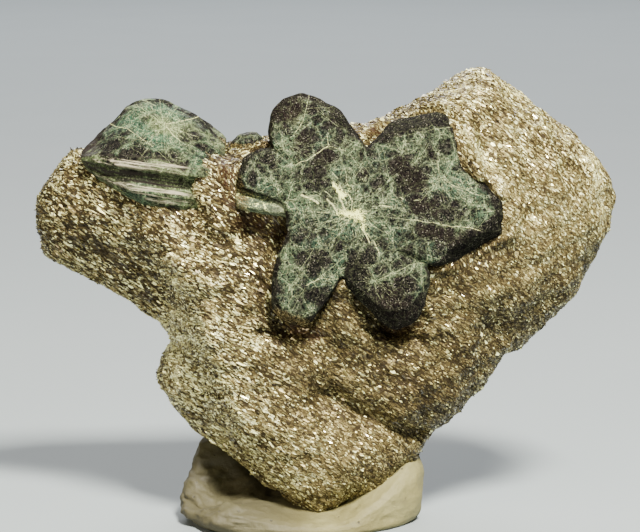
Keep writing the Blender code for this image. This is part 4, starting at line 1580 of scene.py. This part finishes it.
    def outline_path(self) -> tuple[Array, Array]:
        """The outline as straight pieces with rounded corners, in equal steps of length.

        Returns:
            The angle in degrees and the radius of each column.
        """
        angle, radius = np.array(self.shape.outline + self.shape.outline[:1]).T
        turn = np.radians(angle)
        corners = np.stack([radius * np.cos(turn), radius * np.sin(turn)])
        length = np.concatenate([[0], np.cumsum(np.hypot(*np.diff(corners)))])
        at = np.arange(self.columns) / self.columns * length[-1]
        side, up = (soften_loop(np.interp(at, length, row), self.corner_softening)
                    for row in corners)
        return np.degrees(np.arctan2(up, side)), np.hypot(side, up)

    def surface(self) -> tuple[Array, Array, Array]:
        """The twin's points, and the places of all of them in the face.

        Rows run from the middle of the face over its rim and side to the middle of the back.
        They are straight between six stops, and the bends at the stops are rounded.

        Returns:
            Points, millimetres to the right and up in the face.
        """
        shape = self.shape
        angle, radius = self.outline_path()
        bevel = closed_curve(angle, shape.bevel)
        face, none = radius - bevel, 0 * radius
        rim = shape.dome + shape.bevel_slope * bevel
        reaches = np.stack([none, 0.55 * face, face, radius, 0.93 * radius, none])
        deeps = np.stack([none, none + 0.3 * shape.dome, none + shape.dome, rim,
                          none + shape.thick, none + shape.thick])
        stops = np.concatenate([[0]] + [i + np.arange(1, n + 1) / n
                                        for i, n in enumerate(self.row_counts)])
        low = np.minimum(stops.astype(int), 4)
        part = (stops - low)[:, None]
        reach = soften_rows(reaches[low] * (1 - part) + reaches[low + 1] * part, 2)
        deep = soften_rows(deeps[low] * (1 - part) + deeps[low + 1] * part, 2)
        turn = np.radians(angle)
        side, up = reach * np.cos(turn), reach * np.sin(turn)
        lean = np.radians(shape.lean)
        x, y = side, deep * np.cos(lean) + up * np.sin(lean)
        z = up * np.cos(lean) - deep * np.sin(lean)
        points = np.stack([x, y, z], axis=-1) + np.array(shape.middle)
        return points, side, up

    def relief(self, points: Array, side: Array, up: Array) -> Array:
        """Height of the twin's relief: noise of two sizes less the grooves at the notches."""
        rough = 0.14 * fractal(points, 3.2, 61, 3) + 0.09 * fractal(points, 0.9, 67, 2)
        return rough - ridges(side, up, self.sutures)

    def lines(self, side: Array, up: Array, lines: tuple[Line, ...], points: Array) -> Array:
        """The sum of soft lines, their paths bent a little by noise."""
        bend = 0.12 * fractal(points, 1.2, 71, 2)
        return ridges(side + bend, up - bend, lines)

    def build(self) -> None:
        """Make the twin, dress it and report it."""
        points, side, up = self.surface()
        angle, radius = self.outline_path()
        rim = smooth(np.hypot(side, up) - radius + closed_curve(angle, self.shape.bevel), -0.2, 0.5)
        # the shades are black places of the crystal and painted shadow on down-facing rims
        haze = self.lines(side, up, self.hazes, points) - self.lines(side, up, self.shades, points)
        marks = {
            "haze": np.clip(haze - 0.85 * rim, -1, 1),
            "maroon": np.clip(self.lines(side, up, self.maroons, points), 0, 1),
            "core": self.lines(side, up, self.cores, points),
            "crust": ridges(side, up, self.crusts),
        }
        bend = [0.13 * fractal(points, 1.1, seed, 3) for seed in (73, 79)]
        marks |= vein_marks(side + bend[0], up + bend[1], self.veins)
        points = raised(points, self.relief(points, side, up))
        piece = closed_grid("sixling_crystal", points, marks)
        finish = Chrysoberyl("sixling_green", self.shape.middle, self.shape.lean,
                             stars=self.stars)
        settle(piece, finish.material(), Slot.CRYSTAL, "chrysoberyl_sixling")


@dataclass
class PaleBar:
    """The pale bar crystal that has grown into the large twin's left side."""

    size: Triple = (9.6, 5.6, 2.7)
    middle: Triple = (-6.2, -10.6, 41.9)
    turn: float = -8.0  # degrees by which its right end rises
    corner: float = 3.2  # how square the section is
    columns: int = 120
    rows: int = 110

    def build(self) -> None:
        """Make the bar as a squared roll along X with fibrous relief, dress it and report it."""
        around = np.arange(self.columns) / self.columns * 2 * np.pi
        along = np.linspace(-1, 1, self.rows)[:, None]
        full = (1 - np.abs(along) ** 9) ** (1 / 3)
        c, s = np.cos(around), np.sin(around)
        square = (np.abs(c) ** self.corner + np.abs(s) ** self.corner) ** (-1 / self.corner)
        out, up = self.size[1] / 2 * full * square * c, self.size[2] / 2 * full * square * s
        x = along * self.size[0] / 2 + 0 * out
        tip = np.radians(self.turn)
        points = np.stack([x * np.cos(tip) - up * np.sin(tip), -out,
                           x * np.sin(tip) + up * np.cos(tip)], axis=-1) + np.array(self.middle)
        stretched = points * (0.35, 1.0, 1.0)
        height = 0.26 * fractal(stretched, 1.3, 83, 3) + 0.14 * fractal(points, 2.0, 89, 2)
        points = raised(points, height)
        marks = {"haze": 0.3 + 0.9 * fractal(stretched, 1.6, 101, 3),
                 "core": 0.55 + 0.65 * fractal(stretched, 1.4, 97, 3),
                 "crust": 0.85 * smooth(-points[..., 0], 7.0, 10.5)}
        piece = closed_grid("pale_bar_crystal", points, marks)
        finish = Chrysoberyl("bar_pale_green", haze_level=0.30, fibre_level=1.6, grain=0.5,
                             green=(0.19, 0.21, 0.13), teal=(0.10, 0.14, 0.09),
                             fibre_turns=(-14.0, -8.0, -3.0, 4.0, 37.0, 120.0))
        settle(piece, finish.material(), Slot.CRYSTAL, "chrysoberyl_sixling")


@dataclass
class EdgeTwin:
    """The second twin, seen from its stepped edge: a pale dome over striated ledges."""

    axis: Triple = (-27.0, -3.6, 46.0)
    fall: float = 0.14  # how steeply the axis falls to the right
    ledge_level: float = 45.1  # the striated ledges lie below it
    stations: tuple[tuple[float, float, float, float], ...] = (  # x, crest, front, back share
        (-30.4, 47.6, 0.28, 0.3), (-29.8, 48.3, 0.46, 0.5), (-28.4, 49.8, 0.7, 0.75),
        (-26.6, 51.4, 0.9, 0.92), (-24.8, 53.5, 1, 1), (-22.8, 54.5, 1, 1),
        (-20, 54.3, 1, 1), (-17, 53, 0.99, 1), (-14.5, 51.3, 0.96, 0.95),
        (-12.8, 50, 0.88, 0.85), (-12, 49.2, 0.76, 0.7),
    )
    rake: float = 0.7  # how far the left end is drawn in for each millimetre below the axis
    profile: tuple[tuple[float, float, float, float], ...] = (  # forward, up, crest share, band (above 0 pink, partly a painted reflection)
        (7.2, 0.9, 0, 0.9), (7, 1.5, 0, 0.8), (6.5, 2.1, 0, -0.2), (3.2, 0.3, 0.55, 0),
        (0, 0.3, 0.85, 0), (-3.2, 0, 1, 0), (-4.6, -1, 1, -0.2),
        (-5.8, -0.6, 0.55, -0.3), (-6.2, 0, 0, -0.3), (-6, -2.6, 0, -0.2),
        (-4.6, -4.4, 0, -0.2), (0, -4.8, 0, -0.2), (3.6, -4.7, 0, 0),
        (5.7, -4.2, 0, -0.2), (6.8, -3.2, 0, 0.1), (7.1, -2.2, 0, 0.8),
        (6.9, -1.6, 0, 0.8), (6.2, -1.2, 0, -0.6), (6.2, 0.4, 0, -0.7),
    )
    columns: int = 456
    rows: int = 200
    star: Pair = (-19.8, 51.3)
    veins: tuple[Line, ...] = (  # pale rays on the dome from the star: ends, half width, strength
        ((0, 0), (5.3, 0.7), 0.06, 0.9), ((0, 0), (-3.8, 2.3), 0.05, 0.7),
        ((0, 0), (2.2, -2.1), 0.06, 0.8), ((0, 0), (-0.8, 2.9), 0.05, 0.6),
        ((0, 0), (1.8, 2.2), 0.05, 0.6), ((0, 0), (4.2, -1.6), 0.05, 0.7),
        ((-7.6, -0.3), (-4.8, -0.4), 0.05, 0.9), ((-4.8, -0.4), (-1.2, -2.5), 0.05, 0.8),
        ((-2.8, 2.7), (-1.4, 2.1), 0.1, 0.6), ((-6.2, -1.4), (2.2, -2.4), 0.03, 0.5),
        ((-6.6, 0.8), (-3.8, 2.3), 0.04, 0.4), ((-1.2, -2.5), (0.8, -4.2), 0.04, 0.5),
        ((2.2, -2.1), (4.6, -3.4), 0.04, 0.5), ((-4.6, -2.2), (-2.4, -3.6), 0.03, 0.4),
    )
    shades: tuple[Line, ...] = (  # clear dark places by the star: ends, half width, strength
        ((-9, -1.3), (-7, -2.8), 1.4, 1.3), ((-5.2, -1.2), (-2.4, -2.4), 1, 0.9),
        ((2.6, -1.2), (5, -3.4), 1.1, 0.7), ((-6.8, -3.2), (0.4, -4.2), 0.9, 1.3),
        ((1, -4), (3, -4.6), 0.8, 0.8), ((-6, 1.4), (-4, 3.2), 0.6, 0.7),
        ((-2.6, 0.4), (-1.4, 1.2), 0.5, 0.5), ((3.4, 1.4), (5.6, -0.4), 0.5, 0.7),
        ((0.6, 3.1), (3, 2.2), 0.35, 0.8), ((4.6, -1), (6.2, -3.6), 1, 0.6),
    )

    def section(self, x: Array) -> tuple[Array, Array, Array]:
        """The twin's size at places along X, from straight lines between its stations.

        Args:
            x: millimetres to the right.

        Returns:
            Crest height, and shares of the width in front and behind.
        """
        table = np.array(self.stations).T
        ends = np.concatenate([[table[0, 0] - 1e-3], table[0], [table[0, -1] + 1e-3]])
        crest = np.interp(x, table[0], table[1])
        shares = (np.interp(x, ends, np.concatenate([[0], row, [0]])) for row in table[2:])
        return crest, *shares

    def surface(self) -> tuple[Array, Array]:
        """The twin's points and the colour band of each.

        At each station the profile's points are scaled by the station's shares round the
        falling axis, and the crest's height is added by each point's own share of it.

        Returns:
            Points and bands.
        """
        table = np.array(self.stations).T
        first, last = table[0, 0], table[0, -1]
        ease = 0.5 - 0.5 * np.cos(np.pi * np.linspace(0, 1, self.rows))
        x = first + (last - first) * (0.55 * ease + 0.45 * np.linspace(0, 1, self.rows))
        crest, front, back = (values[:, None] for values in self.section(x))
        crest = soften_rows(crest, 60)
        front, back = soften_rows(front, 14), soften_rows(back, 14)
        front[[0, -1]], back[[0, -1]] = 0, 0
        corner = np.arange(self.columns) / self.columns * len(self.profile)
        loop = np.array(self.profile + self.profile[:1])
        forward, up, share, band = (np.interp(corner, np.arange(len(loop)), row) for row in loop.T)
        rows = forward, up, share, band
        crisp, soft = ([soften_loop(row, times) for row in rows] for times in (5, 120))
        dome = smooth(share, 0.03, 0.4)
        forward, up, share, band = (a * (1 - dome) + b * dome for a, b in zip(crisp, soft))
        axis_z = self.axis[2] - self.fall * (x[:, None] - self.axis[0])
        wide = np.where(forward > 0, front, back)
        y = self.axis[1] - forward * wide
        z = axis_z + up * wide + share * (crest - axis_z) * (wide > 0)
        raked = x[:, None] + self.rake * np.maximum(-up * wide, 0) * smooth(-x, 18, 27)[:, None]
        points = np.stack([raked, y, z], axis=-1)
        points[0], points[-1] = points[0].mean(axis=0), points[-1].mean(axis=0)
        return points, band + 0 * y

    def build(self) -> None:
        """Make the twin with striae along X, dress it and report it."""
        points, band = self.surface()
        x, y, z = np.moveaxis(points, -1, 0)
        level = z + self.fall * x
        striae = np.stack([x * 0.05, y, level], axis=-1)
        ledge = smooth(self.axis[1] - 3.0 - y, 0, 2.0) * smooth(self.ledge_level - level, 0, 1.0)
        height = 0.10 * fractal(striae, 0.7, 103, 3) * (0.35 + ledge)
        height = height + 0.14 * fractal(points, 2.6, 107, 3) + 0.05 * fractal(points, 0.8, 109, 2)
        band = band + 0.5 * fractal(striae, 0.45, 113, 3) * ledge
        raised_points = raised(points, height)
        piece = closed_grid("edge_twin_crystal", raised_points, self.marks(points, band))
        finish = Chrysoberyl("edge_twin_green", centre=(self.star[0], -8.0, self.star[1]),
                             lean=0.0, haze_level=0.20, fibre_level=0.85, grain=0.8,
                             stars=(((0.0, 0.0), 6.0, 1.0),),
                             green=(0.105, 0.145, 0.060), teal=(0.030, 0.085, 0.048))
        settle(piece, finish.material(), Slot.CRYSTAL, "chrysoberyl_edge_twin")

    def marks(self, points: Array, band: Array) -> dict[str, Array]:
        """Haze round the star, dark places and a dark rim, bands, painted shade on the left end,
        crusted ends and veins.

        Args:
            points: places in millimetres.
            band: above 0 where the bands are pink, below 0 where they are umber.

        Returns:
            Numbers for each point, by the name that materials read.
        """
        x, _, z = np.moveaxis(points, -1, 0)
        side, up = x - self.star[0], z - self.star[1]
        haze = 0.45 * np.exp(-((side / 6) ** 2 + (up / 2.6) ** 2))
        dark = ridges(side, up, self.shades) * smooth(fractal(points, 2.2, 127, 3), -1.0, 0.3)
        rim = smooth(z - self.section(x)[0], -1.1, -0.35)
        rim = rim * smooth(fractal(points, 1.2, 139, 3), -0.6, 0.1)
        # painted shade: the left end, turned away from the light, is made umber here and maroon below
        band = (band - 0.9 * smooth(-x, 27.4, 29.6)) * smooth(-x, 14.5, 18.5)
        marks = {"haze": np.clip(haze - dark - 1.3 * rim, -1, 1),
                 "maroon": 0.6 * smooth(-x, 27, 29.5), "band": np.clip(band, -1, 1),
                 "crust": 0.4 * smooth(x - 0.5 * (z - 46), -17.5, -13.0) + 0.15 * rim}
        bend = 0.05 * fractal(points, 1.1, 137, 3)
        return marks | vein_marks(side + bend, up + bend, self.veins)


@dataclass
class KnobCrystal:
    """The small crystal end in the top edge, a worn six-sided prism."""

    middle: Triple = (-9.4, -3.0, 47.9)
    size: Triple = (4.2, 4.6, 4.2)
    sides: int = 6
    turn: float = 12.0  # degrees by which the prism is turned
    columns: int = 96
    rows: int = 60

    def build(self) -> None:
        """Make the knob: a six-sided radius, a flat top and rounded edges; dress and report it."""
        around = np.arange(self.columns) / self.columns * 2 * np.pi
        sector = 2 * np.pi / self.sides
        bent = np.mod(around + sector / 2 - np.radians(self.turn), sector) - sector / 2
        flat = np.cos(sector / 2) / np.cos(sector / 2 - np.abs(bent))
        knots = np.array([(0, 1.0), (0.62, 0.92), (1.0, 0.5), (1.0, -1.0), (0, -1.0)])
        stops = np.linspace(0, 4, self.rows)
        reach, rise = (soften_rows(np.interp(stops, np.arange(5), row), 4) for row in knots.T)
        x = self.size[0] / 2 * reach[:, None] * flat * np.cos(around)
        y = self.size[1] / 2 * reach[:, None] * flat * np.sin(around)
        z = self.size[2] / 2 * rise[:, None] + 0.12 * x
        points = np.stack([x, y, z], axis=-1) + np.array(self.middle)
        points = raised(points, 0.14 * fractal(points, 1.6, 131, 3))
        marks = {"haze": np.full(x.shape, 0.1), "crust": 0.75 * smooth(-z, -1.3, -0.4)}
        piece = closed_grid("knob_crystal", points, marks)
        finish = Chrysoberyl("knob_green", centre=self.middle, lean=0.0)
        settle(piece, finish.material(), Slot.CRYSTAL, "chrysoberyl_knob")


@dataclass
class PuttyMount:
    """The pressed putty lump: a low wall round the stone's tip, flat underneath."""

    middle: Pair = (-1.7, -1.6)
    floor: float = 3.2  # height of the sunk middle
    columns: int = 480
    rows: int = 150
    torn: float = 212.0  # degrees, the middle of the ragged side
    shadowed_side: float = 205.0  # degrees, the middle of the side darkened by painted shade
    gap: float = 190.0  # degrees, the middle of the gap beside the stone, where painted shadow lies on the inner wall
    outline: Stops = (  # degrees and radius
        (0, 15.2), (40, 14.6), (90, 13.6), (140, 14.4), (180, 15.6), (200, 16.6), (225, 17),
        (250, 15.3), (270, 14.4), (300, 14.8), (330, 15.6),
    )
    wall: Stops = (  # degrees and height
        (0, 9.8), (45, 10.2), (90, 10.4), (140, 10.4), (178, 9.8), (196, 5.2), (212, 3.4),
        (235, 3.2), (262, 2.2), (280, 2.1), (300, 3.1), (325, 6.6), (345, 8.8),
    )

    def surface(self) -> Array:
        """Points from the sunk middle over the wall's shoulder and down to the flat underside.

        Ten rings, each at a share of the outline's radius and a height worked out from the
        floor's and the wall's, are joined by straight lines whose corners are rounded.

        Returns:
            The points.
        """
        angle = np.arange(self.columns) * 360 / self.columns
        radius = closed_curve(angle, self.outline)
        wall = closed_curve(angle, self.wall)
        low = 0 * wall + self.floor
        shares = np.array([0, 0.3, 0.58, 0.8, 0.915, 0.97, 1.0, 0.985, 0.95, 0.0])
        heights = np.stack([low, 0.85 * low + 0.15 * wall, 0.45 * low + 0.55 * wall,
                            0.1 * low + 0.93 * wall, 0.93 * wall, 0.75 * wall, 0.42 * wall,
                            0.12 * wall, 0 * wall, 0 * wall])
        stops = np.linspace(0, 9, self.rows)
        row = np.minimum(stops.astype(int), 8)
        part = (stops - row)[:, None]
        reach = soften_rows((shares[row] * (1 - part[:, 0]) + shares[row + 1] * part[:, 0]), 10)
        height = heights[row] * (1 - part) + heights[row + 1] * part
        height = np.where(stops[:, None] < 8, soften_rows(height, 10), 0)
        turn = np.radians(angle)
        x = self.middle[0] + reach[:, None] * radius * np.cos(turn)
        y = self.middle[1] + reach[:, None] * radius * np.sin(turn)
        return np.stack([x, y, height], axis=-1)

    def build(self) -> None:
        """Make the putty with dents and folds that leave its underside flat; dress and report."""
        points = self.surface()
        x, y, z = np.moveaxis(points, -1, 0)
        angle = np.degrees(np.arctan2(y - self.middle[1], x - self.middle[0]))
        ragged = smooth(np.cos(np.radians(angle - self.torn)), 0.75, 0.98)
        folds = np.stack([x * 0.5, y * 0.5, z * 1.6], axis=-1)
        height = 0.55 * fractal(points, 7.0, 139, 2) + 0.13 * fractal(points, 1.6, 149, 3)
        height = height + ragged * 0.75 * fractal(folds, 2.2, 151, 3)
        height = (height - 0.25) * smooth(z, 0.0, 1.6)
        points = raised(points, height)
        points[..., 2] = np.maximum(points[..., 2], 0)
        # dirt in the ragged folds
        dirt_and_shade = 0.4 * ragged * smooth(fractal(folds, 1.5, 157, 3), 0.1, 0.7)
        # painted shadow of the stone on the inner wall by the gap
        gap_shadow = smooth(np.cos(np.radians(angle - self.gap)), 0.45, 0.85) * smooth(z, 3.0, 5.2)
        gap_shadow = gap_shadow * smooth(fractal(folds, 3.0, 163, 3), -1.2, 0.0)
        dirt_and_shade = np.maximum(dirt_and_shade, 0.85 * gap_shadow)
        # painted shade over the whole shaded left side
        dirt_and_shade = np.maximum(dirt_and_shade, 0.75 * smooth(np.cos(np.radians(angle - self.shadowed_side)), 0.1, 0.9))
        piece = closed_grid("putty_lump", points, {"dirt_and_shade": dirt_and_shade})
        settle(piece, Putty().material(), Slot.PUTTY, "putty_mount")


@dataclass(frozen=True)
class Softbox:
    """A square area light."""

    name: str
    azimuth: float  # degrees to the right of the camera
    height: float  # degrees above level
    away: float  # metres from the target
    size: float  # metres
    power: float  # watts
    colour: Triple = (1.0, 1.0, 1.0)


@dataclass
class Studio:
    """A pale tabletop, a soft key light, a weak warm fill, a light on the table, the camera."""

    target: Triple = (0.0, 0.0, 0.0322)
    view_width: float = 0.0832  # metres across at the target
    sensor: float = 36.0
    lens: float = 150.0
    camera_height: float = 9.0  # degrees above level
    floor_radius: float = 2.0  # metres
    floor_sides: int = 96
    world_colour: Triple = (0.82, 0.78, 0.68)
    world_light: float = 0.09
    softboxes: tuple[Softbox, ...] = (
        Softbox("key", 22, 52, 0.5, 0.10, 14.8, (1.0, 0.955, 0.83)),
        Softbox("fill", -45, 14, 0.7, 0.4, 3.2, (1.0, 0.88, 0.66)),
        Softbox("floor_light", 180, 40, 1.4, 1.2, 30.0),
    )

    def towards(self, azimuth: float, height: float) -> Vector:
        """The unit direction from the target at an azimuth to the right and a height, in degrees."""
        a, h = np.radians(azimuth), np.radians(height)
        return Vector((np.sin(a) * np.cos(h), -np.cos(a) * np.cos(h), np.sin(h)))

    def lamp(self, box: Softbox) -> None:
        """Hang an area light that faces the target.

        Args:
            box: its place, size and light.
        """
        light = bpy.data.lights.new(box.name, "AREA")
        light.energy = box.power
        light.color = box.colour
        light.size = box.size
        lamp = bpy.data.objects.new(box.name, light)
        out = self.towards(box.azimuth, box.height)
        lamp.location = Vector(self.target) + box.away * out
        lamp.rotation_euler = out.to_track_quat("Z", "Y").to_euler()
        bpy.context.scene.collection.objects.link(lamp)

    def floor(self) -> None:
        """A round floor at the putty's underside: a ring of points round a middle."""
        sides = self.floor_sides
        around = np.arange(sides) * 2 * np.pi / sides
        rim = np.stack([np.cos(around), np.sin(around), 0 * around], axis=-1)
        points = np.vstack([[(0, 0, 0)], rim * self.floor_radius / MM])
        k = np.arange(sides)
        loops = np.stack([0 * k, 1 + k, 1 + (k + 1) % sides], axis=-1).ravel()
        mesh = new_mesh("floor", points, loops, np.full(sides, 3), rounded=False)
        mesh.materials.append(StudioFloor().material())
        piece = bpy.data.objects.new("floor", mesh)
        bpy.context.scene.collection.objects.link(piece)

    def camera(self) -> None:
        """The camera, facing the crystals and looking a little down."""
        lens = bpy.data.cameras.new("camera")
        lens.lens, lens.sensor_width, lens.clip_start = self.lens, self.sensor, 0.01
        eye = bpy.data.objects.new("camera", lens)
        distance = self.view_width / self.sensor * self.lens
        eye.location = Vector(self.target) + distance * self.towards(0, self.camera_height)
        eye.rotation_euler = (np.radians(90 - self.camera_height), 0, 0)
        bpy.context.scene.collection.objects.link(eye)
        bpy.context.scene.camera = eye

    def world(self) -> None:
        """A faint, even, warm light from all sides."""
        sky = bpy.data.worlds.new("studio")
        sky.use_nodes = True
        back = sky.node_tree.nodes["Background"]
        back.inputs["Color"].default_value = (*self.world_colour, 1.0)
        back.inputs["Strength"].default_value = self.world_light
        bpy.context.scene.world = sky

    def build(self) -> None:
        """Set up the studio."""
        self.floor()
        self.camera()
        self.world()
        for box in self.softboxes:
            self.lamp(box)
        LOG.info("studio: floor, camera and %d lights", len(self.softboxes))


def main() -> None:
    """Build the specimen's pieces in order, then the studio."""
    logging.basicConfig(level=logging.INFO, format="%(name)s: %(message)s")
    for assembly in (SchistMatrix(), LargeTwin(), PaleBar(), EdgeTwin(), KnobCrystal(),
                     PuttyMount(), Studio()):
        assembly.build()


if __name__ == "__main__":
    main()
